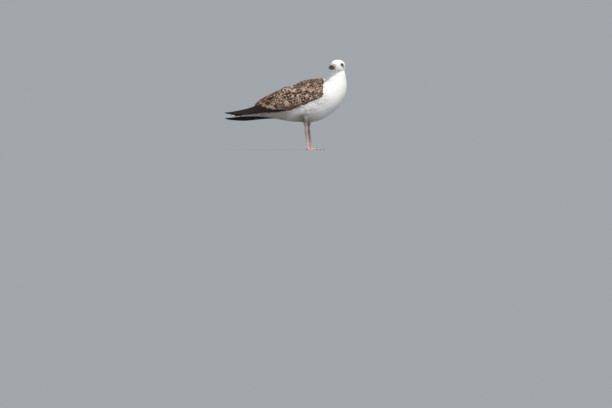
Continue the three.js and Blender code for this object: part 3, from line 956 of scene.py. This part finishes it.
def make_skin(form, down, leg_skin, lid_skin):
    bm = bmesh.new()
    bm.from_mesh(form.mesh)
    for vert, place in zip(bm.verts, sunk(form).tolist()):
        vert.co = place
    relax(bm, 3)
    dark = bm.verts.layers.float.new("dark")
    for vert, share in zip(bm.verts, wing_share(form.points).tolist()):
        vert[dark] = share
    for name, nodes in LEG_NODES.items():
        x, y = SHANKS[name]
        balls = [((x, y, z), 4.4 + 0.05 * (z - 98)) for z in range(98, 123, 3)]
        leg = copy_of([f"thigh_{name}", *nodes], 0.25, balls=balls)
        leg = remeshed(leg, LEG_VOXEL, 3)
        for vert in leg.verts:
            vert.co -= vert.normal * 3 * MM * smooth(drawn(vert.co)[2], 122, 142)
        part = mesh_of(leg, "leg")
        bm.from_mesh(part)
        bpy.data.meshes.remove(part)
    for face in bm.faces:
        if drawn(face.calc_center_median())[2] < BARE_BELOW:
            face.material_index = 1
    for side in SIDES.values():
        for face in lid_ring(bm, side):
            face.material_index = 2
    skin = link("skin", mesh_of(bm, "skin"), down, leg_skin, lid_skin)
    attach(skin, "root")
    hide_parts(*FLESH, *[node for nodes in LEG_NODES.values() for node in nodes])


# ---------------------------------------------------------------- small feathers


def feather_length(points):
    """The length of the small feathers, in metres, from the face to under the tail."""
    head = head_place(points)
    from_bill = np.linalg.norm(head - np.array((44, 0, 0)), axis=1)
    place = drawn(points)
    length = 3.6 + 5.6 * smooth(from_bill, 8, 60) + 5.2 * smooth(from_bill, 60, 120)
    length += 6 * smooth(from_bill, 120, 230)
    length += 5 * smooth(-place[:, 0], 100, 220)
    return length * (1 - 0.55 * smooth(136 - place[:, 2], 0, 14)) * MM


def near_eye(points):
    """How near each point is to the nearer eye, across the head, in millimetres."""
    head = head_place(points)
    f, _, u = EYE_PLACE
    flat = np.hypot(head[:, 0] - f, head[:, 2] - u)
    return np.where(np.abs(head[:, 1]) > 12, flat, 99.0)


def in_bill(points):
    head = head_place(points)
    reach = (head[:, 0] > 33) & (np.abs(head[:, 1]) < 7.6)
    return reach & (head[:, 2] < 10.6) & (head[:, 2] > -12.6)


def small_tract(name, form, keep, material, seed, closeness, slim):
    rng = np.random.default_rng(seed)
    spacing = lambda p: feather_length(p) * closeness
    roots, normals = scatter(form, keep, spacing, 1.3, rng)
    lengths = feather_length(roots) * rng.uniform(0.85, 1.2, len(roots))
    ways = turned(lie(roots, normals), normals, rng.normal(0, 0.12, len(roots)))
    stations = np.array((0.3, 0.62, 0.87))
    shares = np.concatenate(([0], stations, [1]))
    depth = coat_depth(roots)
    lift = rng.uniform(-0.35, 0.0, len(roots)) * MM
    centres, across, out = walk(
        form, roots, normals, ways, lengths, shares, depth * 0.85, lift, 5)
    tips = centres[:, -1]
    clear = (near_eye(tips) > EYE_CLEARANCE) & (near_eye(centres[:, 2]) > EYE_CLEARANCE)
    clear &= near_eye(roots) > ROOT_CLEARANCE
    clear &= drawn(roots)[:, 2] > FEATHERS_ABOVE
    clear &= ~in_bill(roots)
    breadths = lengths[:, None] * slim * np.array((0.8, 1.0, 0.6))[None]
    breadths *= rng.uniform(0.85, 1.15, len(roots))[:, None]
    attributes = {"stations": stations, "tone": rng.random(len(roots))[clear]}
    flat = fitted(unwrapped(roots))
    return weave(
        name, material, centres[clear], across[clear], out[clear], breadths[clear],
        0.14, 0.08, 3, flat[clear], roots[clear], attributes)


def clothe(form, pale, face):
    """The small pale feathers, in tracts from the face to the tail."""
    def zone(test):
        """The places where test is true of x, z, the head, and the share under the wings."""
        def keep(points):
            x, _, z = drawn(points).T
            head = head_place(points)
            on_head = (np.linalg.norm(head, axis=1) < HEAD_REACH) & (z > HEAD_ABOVE)
            return test(x, z, on_head, head[:, 0] > 4, wing_share(points))
        return keep

    def on_face(x, z, on_head, before, dark):
        return on_head & before

    def on_crown(x, z, on_head, before, dark):
        return on_head & ~before

    def on_neck(x, z, on_head, before, dark):
        return ~on_head & (z > 300) & (x > 60) & (dark < COVERED)

    def on_breast(x, z, on_head, before, dark):
        return ~on_head & (z <= 300) & (x > 60) & (dark < COVERED)

    def on_belly(x, z, on_head, before, dark):
        pale_here = dark < np.where(x < -20, 0.05, COVERED)
        return (x <= 60) & (x > -70) & pale_here & (z < 300)

    def on_vent(x, z, on_head, before, dark):
        return (x <= -70) & (x > -318) & (dark < 0.05) & (z < 200)

    for name, test, material, seed, closeness, slim in (
        ("feathers_face", on_face, face, 11, 0.10, 0.11),
        ("feathers_crown", on_crown, face, 16, 0.10, 0.11),
        ("feathers_neck", on_neck, pale, 12, 0.092, 0.10),
        ("feathers_breast", on_breast, pale, 13, 0.086, 0.10),
        ("feathers_belly", on_belly, pale, 14, 0.078, 0.10),
        ("feathers_vent", on_vent, pale, 15, 0.072, 0.10),
    ):
        small_tract(name, form, zone(test), material, seed, closeness, slim)


# ---------------------------------------------------------------- large feathers

LARGE_STATIONS = 1 - (1 - np.linspace(0.06, 0.985, 11)) ** 1.35
LARGE_SHARES = np.concatenate(([0], LARGE_STATIONS, [1]))
LARGE_COLUMNS = 7


class Wing:
    """One side of a folded wing, found from its solid.

    A place on it is given by x, along the bird, and d, up the wing from its lower edge.
    """

    def __init__(self, name, inner=False):
        self.way = -SIDES[name] if inner else SIDES[name]
        self.front = -110 if inner else 100  # further forward the inner side is in the body
        self.start = at(0, 0, 0)[1] if inner else at(0, 200 * self.way, 0)[1]
        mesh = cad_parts[f"wing_{name}"].data
        heights = points_of(mesh)[:, 2]
        self.xs = np.arange(-402, 86, 6.5)
        self.tree = tree_of(mesh)
        low, high = heights.min(), heights.max()
        rows = [self.section(x, np.linspace(low, high, 130)) for x in self.xs]
        self.rows = np.array([row for row, _ in rows])
        self.lengths = np.array([length for _, length in rows])

    def hits(self, x, heights):
        """Where level lines across the bird meet this side of the wing."""
        found = []
        for z in heights:
            start = Vector((at(x, 0, 0)[0], self.start, z))
            hit = self.tree.ray_cast(start, Vector((0, -self.way, 0)))
            if hit[0] is not None:
                found.append(tuple(hit[0]))
        return found

    def section(self, x, heights, samples=25):
        """Points up this side at x, evenly spaced, and the whole length."""
        rough = self.hits(x, heights)
        step = heights[1] - heights[0]
        found = self.hits(x, np.linspace(rough[0][2] - step, rough[-1][2] + step, 60))
        found = np.array(found)
        steps = np.concatenate(([0], np.cumsum(np.linalg.norm(np.diff(found, axis=0), axis=1))))
        wanted = np.linspace(0, steps[-1], samples)
        even = np.stack([np.interp(wanted, steps, found[:, i]) for i in range(3)], axis=1)
        return even, steps[-1] / MM

    def share(self, x, d):
        """How far up the wing d is at x, from 0 to 1."""
        return np.clip(d / np.interp(x, self.xs, self.lengths), 0.01, 0.99)

    def point(self, x, share):
        """Places at x, at a share of the way up."""
        x = np.clip(x, self.xs[0], self.xs[-1] - 1e-6)
        column = (x - self.xs[0]) / (self.xs[1] - self.xs[0])
        row = np.clip(share, 0, 1) * (self.rows.shape[1] - 1)
        i, j = np.floor(column).astype(int), np.floor(row).astype(int)
        i, j = np.minimum(i, len(self.xs) - 2), np.minimum(j, self.rows.shape[1] - 2)
        a, b = (column - i)[..., None], (row - j)[..., None]
        low = self.rows[i, j] * (1 - a) + self.rows[i + 1, j] * a
        high = self.rows[i, j + 1] * (1 - a) + self.rows[i + 1, j + 1] * a
        return low * (1 - b) + high * b

    def out(self, x, share):
        """The directions out of this side of the wing."""
        forwards = self.point(x + 9, share) - self.point(x - 9, share)
        share_low, share_high = np.maximum(share - 0.09, 0), np.minimum(share + 0.09, 1)
        upwards = self.point(x, share_high) - self.point(x, share_low)
        return unit(np.cross(forwards, upwards) * -self.way)


class Row:
    """Large feathers side by side on a wing, the first in front.

    Each pair of numbers is for the first and the last feather. tips is the tips' x, knots
    the line that the tips lie on as (x, d) pairs, slope the angle that the feathers rise at
    towards their roots, and depth how deep under the wing's surface root and tip lie.
    """

    def __init__(self, count, tips, knots, length, slope, breadth, root_depth, tip_depth):
        share = np.linspace(0, 1, count)

        def between(pair):
            return pair[0] + (pair[1] - pair[0]) * share

        x = between(tips)
        knots = sorted(knots)
        d = np.interp(x, [knot[0] for knot in knots], [knot[1] for knot in knots])
        self.tip = np.stack((x, d), 1)
        length, slope = between(length), np.radians(between(slope))
        self.root = self.tip + np.stack((np.cos(slope), np.sin(slope)), 1) * length[:, None]
        self.breadth = between(breadth)
        self.depth = np.stack((between(root_depth), between(tip_depth)), 1)


def single(root, tip, breadth, depth):
    """A row of one feather from root to tip, both as x and d."""
    row = Row(1, (0, 0), ((0, 0), (1, 0)), (1, 1), (0, 0), (breadth,) * 2, *((0, 0),) * 2)
    row.root, row.tip = np.array([root], float), np.array([tip], float)
    row.depth = np.array([depth], float)
    return row


def wing_vanes(name, wing, material, rows, shape, rng, pattern, border, waver, camber):
    """Rows of large feathers on one side of a wing, as one piece."""
    root = np.concatenate([row.root for row in rows])
    tip = np.concatenate([row.tip for row in rows])
    breadth = np.concatenate([row.breadth for row in rows])
    depths = np.concatenate([row.depth for row in rows])
    fits = root[:, 1] < np.interp(root[:, 0], wing.xs, wing.lengths) - 1
    fits &= tip[:, 0] < wing.front
    root, tip, breadth, depths = root[fits], tip[fits], breadth[fits], depths[fits]
    count = len(root)
    tip = tip + rng.normal(0, 1, (count, 2)) * np.array(waver)
    shares = LARGE_SHARES[None, :]
    x = root[:, :1] + (tip[:, :1] - root[:, :1]) * shares
    d = root[:, 1:] + (tip[:, 1:] - root[:, 1:]) * shares**1.15
    up = wing.share(x, d)
    places = wing.point(x, up)
    out = wing.out(x, up)
    depth = depths[:, :1] * (1 - shares) ** 1.6 + depths[:, 1:] * (1 - (1 - shares) ** 1.6)
    centres = places - out * depth[..., None] * MM
    along = np.gradient(centres, axis=1)
    across = unit(np.cross(out, along))
    breadths = breadth[:, None] * shape(LARGE_STATIONS)[None] * MM
    attributes = {
        "stations": LARGE_STATIONS, "tone": rng.random(count),
        "pattern": pattern(count), "border": border(count),
    }
    attributes["border"][:, 2] = shading(places[:, 6])
    flat = fitted(root)
    return weave(name, material, centres, across, out, breadths,
                 camber, 0.35, LARGE_COLUMNS, flat, places[:, 0],
                 attributes, patch=patch_size(flat))


def patch_size(flat):
    """The most map that each feather can take beside its neighbours, both ways."""
    offsets = np.abs(flat[:, None] - flat[None]).max(axis=2)
    np.fill_diagonal(offsets, 1)
    nearest = np.clip(offsets.min(axis=1) * 0.92, TUFT_PATCH, 0.05)
    return np.stack((nearest, nearest), axis=1)


def patterns(rng, notches, barred, paleness):
    def build(count):
        return np.stack([rng.uniform(*pair, count) for pair in (notches, barred, paleness)], 1)
    return build


def fringes(rng):
    """Borders of three kinds: nearly all pale, nearly all dark, and between."""
    def build(count):
        kind = rng.random(count)
        broad, thin, middling = rng.uniform(((0.5,), (0.03,), (0.12,)), ((0.85,), (0.09,), (0.2,)),
                                            (3, count))
        fringe = np.where(kind < 0.17, broad, np.where(kind < 0.55, thin, middling))
        return np.stack((fringe, rng.uniform(0, 0.8, count), np.zeros(count)), 1)
    return build


def shading(places):
    """How dark the large feathers are at each place: broad darker and paler zones, and painted
    shade along the top of the back.
    """
    x, y, z = drawn(places).T
    lowered = z + droop(x, y)
    dark = np.zeros(len(x))
    for (x_mid, z_mid), (x_reach, z_reach), depth in DARK_PATCHES:
        off = np.hypot((x - x_mid) / x_reach, (lowered - z_mid) / z_reach)
        dark += depth * (1 - smooth(off, 0.4, 1.2))
    return np.clip(dark, -1, 1)


# Middles as x and z, reaches, and how much darker (or paler) the feathers are. The last three are
# painted shade along the top of the back.
DARK_PATCHES = (
    ((-20, 272), (55, 13), 0.9), ((-75, 312), (42, 20), 0.4), ((2, 232), (30, 12), 0.9),
    ((-235, 228), (34, 17), 0.9), ((-90, 196), (78, 15), 0.9), ((-72, 211), (40, 12), 0.8),
    ((20, 318), (40, 14), 0.3), ((-10, 290), (95, 7), -0.8), ((-125, 258), (40, 16), -0.5),
    ((25, 247), (45, 12), -0.6),
    ((-180, 222), (40, 16), -0.4), ((-150, 270), (62, 13), 0.7), ((-62, 320), (52, 11), 0.6),
    ((-210, 249), (42, 9), 0.7),
)
# Root and tip as x and d, breadth, and how deep root and tip lie.
TERTIALS = (
    ((-85, 56), (-181, 19), 12.5, (3.4, 0.9)), ((-95, 70), (-204, 25), 13.5, (3.2, 0.8)),
    ((-105, 84), (-226, 33), 14, (3.0, 0.7)), ((-115, 100), (-244, 41), 14, (2.8, 0.55)),
    ((-125, 113), (-259, 45), 13, (2.6, 0.4)),
)
PRIMARY_TIPS = ((-403, 3), (-399, 7), (-385, 11), (-363, 15.5), (-339, 20), (-315, 25), (-291, 31))


def dress_wing(name, chequered, flight):
    """The large feathers of one folded wing, outside and inside."""
    wing, inner = Wing(name), Wing(name, True)
    rng = np.random.default_rng(31 if name == "left" else 32)
    plain = patterns(rng, (0, 0.1), (0, 0), (0.3, 0.6))
    thin = patterns(rng, (0.05, 0.09), (0, 0.4), (0, 0))

    def dark_vanes(part, side, rows, shape, waver, camber=0.5):
        wing_vanes(f"{part}_{name}", side, flight, rows, shape, rng, plain, thin, waver, camber)

    def patterned_vanes(part, side, rows, pattern, border, waver, camber=0.5):
        wing_vanes(f"{part}_{name}", side, chequered, rows, rounded, rng,
                   patterns(rng, *pattern), border, waver, camber)

    primaries = [
        single((-128 - 2 * i, 8 + 4.6 * i), tip, 7.4 + 0.5 * i, (2.4 - 0.2 * i, 1.0 - 0.11 * i))
        for i, tip in enumerate(PRIMARY_TIPS)
    ]
    dark_vanes("primaries", wing, primaries, pointed, (0, 0))
    inner_primaries = [
        single((-212 - 2 * i, 9 + 4 * i), (tip[0] + 1, tip[1]), 7 + 0.4 * i,
               (1.3 - 0.1 * i, 0.9 - 0.1 * i))
        for i, tip in enumerate(PRIMARY_TIPS[:5])
    ]
    dark_vanes("primaries_inside", inner, inner_primaries, pointed, (0, 0), 0.3)

    secondaries = Row(10, (-66, -208), ((-230, 9), (-66, 5)), (82, 92), (12, 5), (8.5, 9.5),
                      (3.6, 3.2), (1.0, 0.8))
    dark_vanes("secondaries", wing, [secondaries], rounded, (1, 0.5))

    tertials = [single(*feather) for feather in TERTIALS]
    patterned_vanes("tertials", wing, tertials, ((3, 5), (0.0, 0.12), (0.1, 0.7)),
                    patterns(rng, (0.07, 0.11), (0.5, 1.0), (0, 0)), (0, 0), 0.9)

    greater = Row(17, (14, -180), ((14, 6), (-100, 9), (-150, 16), (-180, 28)), (46, 60),
                  (32, 22), (6.2, 9.6), (3.2, 3.2), (0.7, 0.6))
    patterned_vanes("greater_coverts", wing, [greater], ((7, 10), (0.7, 1.0), (0.0, 0.5)),
                    patterns(rng, (0.10, 0.16), (0, 0.4), (0, 0)), (1, 0.8))
    coverts = []
    for i in range(6):
        knots = ((60, 14 + 12 * i), (14, 22 + 13 * i), (-100, 27 + 14.5 * i),
                 (-160, 38 + 13 * i), (-190, 46 + 10 * i))
        coverts.append(Row(18 - i, (28 + 8 * i, -172 + 6 * i), knots, (30 - 2.4 * i, 40 - 3 * i),
                           (34, 22), (5.0 - 0.2 * i, 8.2 - 0.4 * i), (2.9, 2.9),
                           (0.6 - 0.03 * i, 0.5 - 0.03 * i)))
    patterned_vanes("coverts", wing, coverts, ((1.5, 3.0), (0, 0.4), (0.2, 1.0)), fringes(rng),
                    (1.6, 1.2))
    patterned_vanes("tertials_inside", inner, tertials + coverts[2:],
                    ((3, 5), (0, 0.3), (0, 0.5)),
                    patterns(rng, (0.07, 0.16), (0.3, 1.0), (0, 0)), (0.5, 0.5))


def outline(points):
    """The highest z over the bird at each x, as a function."""
    x = points[:, 0]
    steps = np.arange(x.min(), x.max(), 4 * MM)
    tops = [points[abs(x - step) < 4 * MM, 2].max() for step in steps]
    return lambda places: np.interp(places[..., 0], steps, tops)


def dress_back(own_form, chequered):
    """The mantle and the scapulars, from the hind neck back over the wings' upper sides."""
    rng = np.random.default_rng(41)
    top = outline(own_form.points)
    form = make_form(4, 4, 12)  # bridges the gaps between the wings and the back

    def zone(points):
        x, y, z = drawn(points).T
        lower = np.interp(x, (-178, -120, -60, 0, 35, 60, 80), (258, 252, 260, 263, 260, 248, 260))
        lower = lower - droop(x, y)
        rump = (x > -212) & (x < -30) & (abs(y) < 24) & (z > 200)
        return (x > -150) & (x < 75) & (z > lower) | rump

    def length(points):
        back = -drawn(points)[:, 0]
        return (13 + 13 * smooth(back, -74, -10) + 9 * smooth(back, 10, 80)
                - 11 * smooth(back, 90, 140)) * MM

    spacing = lambda p: length(p) * 0.36
    roots, normals = scatter(form, zone, spacing, 1.5, rng)
    count = len(roots)
    lengths = length(roots) * rng.uniform(0.9, 1.15, count)
    ways = turned(lie(roots, normals), normals, rng.normal(0, 0.10, count))
    centres, across, out = walk(
        form, roots, normals, ways, lengths, LARGE_SHARES, np.full(count, 3.6 * MM),
        rng.uniform(-0.5, 0.1, count) * MM)
    centres = centres - out * 3.4 * MM
    centres[..., 2] = np.minimum(centres[..., 2], top(centres) - 0.3 * MM)
    mean = unit(out.sum(axis=1, keepdims=True))
    even = (out * mean).sum(axis=2).min(axis=1) > 0.86
    out = unit(out * 0.4 + mean * 0.6)
    across = unit(np.cross(out, np.gradient(centres, axis=1)))
    roots, centres, across, out = roots[even], centres[even], across[even], out[even]
    count = len(roots)
    breadths = lengths[even, None] * 0.27 * rounded(LARGE_STATIONS)[None]
    attributes = {
        "stations": LARGE_STATIONS, "tone": rng.random(count),
        "pattern": patterns(rng, (1.2, 2.8), (0, 0.3), (0.3, 1.0))(count),
        "border": fringes(rng)(count),
    }
    attributes["border"][:, 2] = shading(centres[:, 6])
    flat = fitted(unwrapped(roots))
    piece = weave("scapulars", chequered, centres, across, out, breadths,
                  0.8, 0.35, LARGE_COLUMNS, flat, roots, attributes,
                  patch=patch_size(flat))
    points = points_of(piece.data)
    points[:, 2] = np.minimum(points[:, 2], top(points) + 0.4 * MM)
    piece.data.vertices.foreach_set("co", points.ravel())
    bpy.data.meshes.remove(form.mesh)


def dress_tail(material):
    """Twelve tail feathers, the middle pair on top, seen from above and from below."""
    rng = np.random.default_rng(51)
    mesh = copy_of(["trunk", "tail"])
    tree = tree_of(mesh)
    bpy.data.meshes.remove(mesh)

    def surface(x, y, down):
        """A place on the tail's side, or straight out from its edge, and the way out."""
        for pull in (1, 0.85, 0.7, 0.5, 0.3, 0):
            start = Vector((*at(x, y * pull, 0)[:2], 0.5 if down else -0.1))
            hit = tree.ray_cast(start, Vector((0, 0, -1 if down else 1)))
            if hit[0] is not None:
                return (start.x, at(x, y, 0)[1], hit[0].z), tuple(hit[1])
        raise ValueError("no tail here")

    for name, down in (("tail_feathers", True), ("tail_feathers_under", False)):
        x_root = -188 if down else -262
        centres, out, breadths, places = [], [], [], []
        for side in SIDES.values():
            for i in range(6):
                y_root, y_tip = side * (2 + 3.4 * i), side * (3.5 + 4.8 * i)
                x_tip = -374.5 + 1.2 * i + (0.4 * i) ** 2
                line, ways = [], []
                for share in LARGE_SHARES:
                    x = x_root + (x_tip - x_root) * share
                    y = y_root + (y_tip - y_root) * share**0.8
                    place, facing = surface(x, y, down)
                    order = i if down else 5 - i
                    depth = (0.25 + 0.16 * order) * MM
                    line.append(tuple(np.array(place) - np.array(facing) * depth))
                    ways.append(facing)
                centres.append(line)
                out.append(ways)
                breadths.append((9.0 - 0.1 * i) * rounded(LARGE_STATIONS) * MM)
                places.append((0.5 + side * (0.04 + 0.078 * i), 0.5))
        centres, out = np.array(centres), unit(np.array(out))
        across = unit(np.cross(out, np.gradient(centres, axis=1)))
        count = len(centres)
        attributes = {"stations": LARGE_STATIONS, "tone": rng.random(count)}
        weave(name, material, centres, across, out, np.array(breadths),
              0.4, 0.3, LARGE_COLUMNS, np.array(places), centres[:, 0],
              attributes, patch=np.tile(np.array((0.06, 0.9)), (count, 1)))


# ---------------------------------------------------------------- bill, eyes, legs, claws


def horn_piece(name, node, voxel, smoothing, material, shape=None):
    """A horny part over its solid: remeshed finely, smoothed, and shaped further."""
    bm = remeshed(copy_of([node]), voxel, smoothing)
    if shape:
        for vert in bm.verts:
            shape(vert)
    piece = link(name, mesh_of(bm, name), material)
    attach(piece, "root")
    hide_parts(node)
    return piece


def shape_bill(vert):
    """The nostrils, and a groove along the side of the bill in front of them."""
    place = (HEAD_BACK @ vert.co) / MM
    f, l, u = place
    side = 1 if l > 0 else -1
    slit = math.exp(-(((f - 55) / 5.2) ** 2 + ((u - 3.2 - (f - 55) * 0.12) / 1.15) ** 2) * 1.6)
    groove = math.exp(-(((f - 64) / 10) ** 2 + ((u - 2.6) / 1.6) ** 2)) * 0.35
    if abs(l) > 2:
        l -= side * (slit * 2.2 + groove)
    vert.co = in_head(f, l, u)


def make_eyes():
    for name, side in SIDES.items():
        f, l, u = EYE_PLACE
        bm = bmesh.new()
        bmesh.ops.create_uvsphere(bm, u_segments=48, v_segments=32, radius=EYE_RADIUS * MM)
        for vert in bm.verts:
            outward = vert.co.z / (EYE_RADIUS * MM)
            vert.co *= 1 - 0.02 * (1 - outward) - 0.004
        turn = Matrix.Rotation(math.radians(-90 * side), 4, "X")
        bmesh.ops.transform(bm, verts=bm.verts, matrix=turn)
        bmesh.ops.translate(bm, verts=bm.verts, vec=Vector((f, side * l, u)) * MM)
        bmesh.ops.transform(bm, verts=bm.verts, matrix=HEAD)
        eye = link(f"eyeball_{name}", mesh_of(bm, f"eyeball_{name}"), make_eye(name))
        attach(eye, "root")
        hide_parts(f"eye_{name}")


def make_claws(material):
    for name in SIDES:
        for toe in ("inner", "middle", "outer", "hind"):
            horn_piece(f"nail_{toe}_{name}", f"claw_{toe}_{name}", 0.3, 2, material)


# ---------------------------------------------------------------- scene

AIR = np.array((0.36, 0.385, 0.41))
SUN = np.array((1.0, 0.965, 0.92))
SUN_STRENGTH = 3.3
SUN_FROM = (0.62, -0.68, 1.3)  # the right, the front and above
FILL_STRENGTH = 0.75
FILL_FROM = (-0.55, -1.0, 0.22)


def make_stage():
    """A pale floor in the air's own brightness.

    mesh_of holds it inside the solids' box too, so it reaches only as far as the bird does.
    """
    falling = SUN * SUN_STRENGTH * Vector(SUN_FROM).normalized().z / math.pi
    falling = falling + FILL_STRENGTH * Vector(FILL_FROM).normalized().z / math.pi
    tone = tuple(AIR / (falling + AIR))
    look = Look("studio floor", Roughness=1.0, Specular_IOR_Level=0.0)
    grain = look.noise(look.place(), 6, 2)
    colour = look.shade(look.mix(grain, tone, tone), 0.99 + grain * 0.02)
    bm = bmesh.new()
    bmesh.ops.create_grid(bm, x_segments=1, y_segments=1, size=60)
    floor = link("floor", mesh_of(bm, "floor"), look.finish(Base_Color=colour))


def make_lights():
    for name, strength, spread, colour, source in (
        ("sun", SUN_STRENGTH, 10, SUN, SUN_FROM),
        ("fill", FILL_STRENGTH, 50, (1, 1, 1), FILL_FROM),
    ):
        data = bpy.data.lights.new(name, "SUN")
        data.energy = strength
        data.angle = math.radians(spread)
        data.color = tuple(colour)
        sun = bpy.data.objects.new(name, data)
        sun.rotation_euler = (-Vector(source)).to_track_quat("-Z", "Y").to_euler()
        sun.location = Vector(source) * 3
        bpy.context.scene.collection.objects.link(sun)
    world = bpy.data.worlds.new("studio air")
    world.use_nodes = True
    background = world.node_tree.nodes["Background"]
    background.inputs["Color"].default_value = (*AIR, 1)
    bpy.context.scene.world = world
    bpy.context.scene.view_settings.view_transform = "Standard"


IMAGE_WIDTH = 612  # in pixels
MM_PER_PIXEL = 4.8  # at the bird
CAMERA_DISTANCE = 17.0
CAMERA_HEIGHT = 0.12
AIM = (-12.03, 0.0, -260.0)


def make_camera():
    data = bpy.data.cameras.new("camera")
    camera = bpy.data.objects.new("camera", data)
    bpy.context.scene.collection.objects.link(camera)
    aim = Vector(at(*AIM))
    camera.location = (aim.x, -CAMERA_DISTANCE, CAMERA_HEIGHT)
    way = aim - camera.location
    camera.rotation_euler = way.to_track_quat("-Z", "Y").to_euler()
    view_width = IMAGE_WIDTH * MM_PER_PIXEL * MM
    data.lens = data.sensor_width * way.length / view_width
    data.clip_end = 200
    bpy.context.scene.camera = camera


make_camera()
make_stage()
make_lights()
chequered = make_patterned_feather()
flight = make_flight_feather()
leg_skin = make_leg_skin()
bill_horn = make_bill_horn()
form = make_form()
make_skin(form, make_down(), leg_skin, make_eyelid())
clothe(form, make_pale_feather(), make_face_feather())
for wing_name in SIDES:
    dress_wing(wing_name, chequered, flight)
dress_back(form, chequered)
dress_tail(make_tail_feather())
horn_piece("bill_top", "bill_upper", 0.6, 3, bill_horn, shape_bill)
horn_piece("bill_under", "bill_lower", 0.6, 3, bill_horn)
make_eyes()
make_claws(make_claw_horn())
bpy.data.meshes.remove(form.mesh)
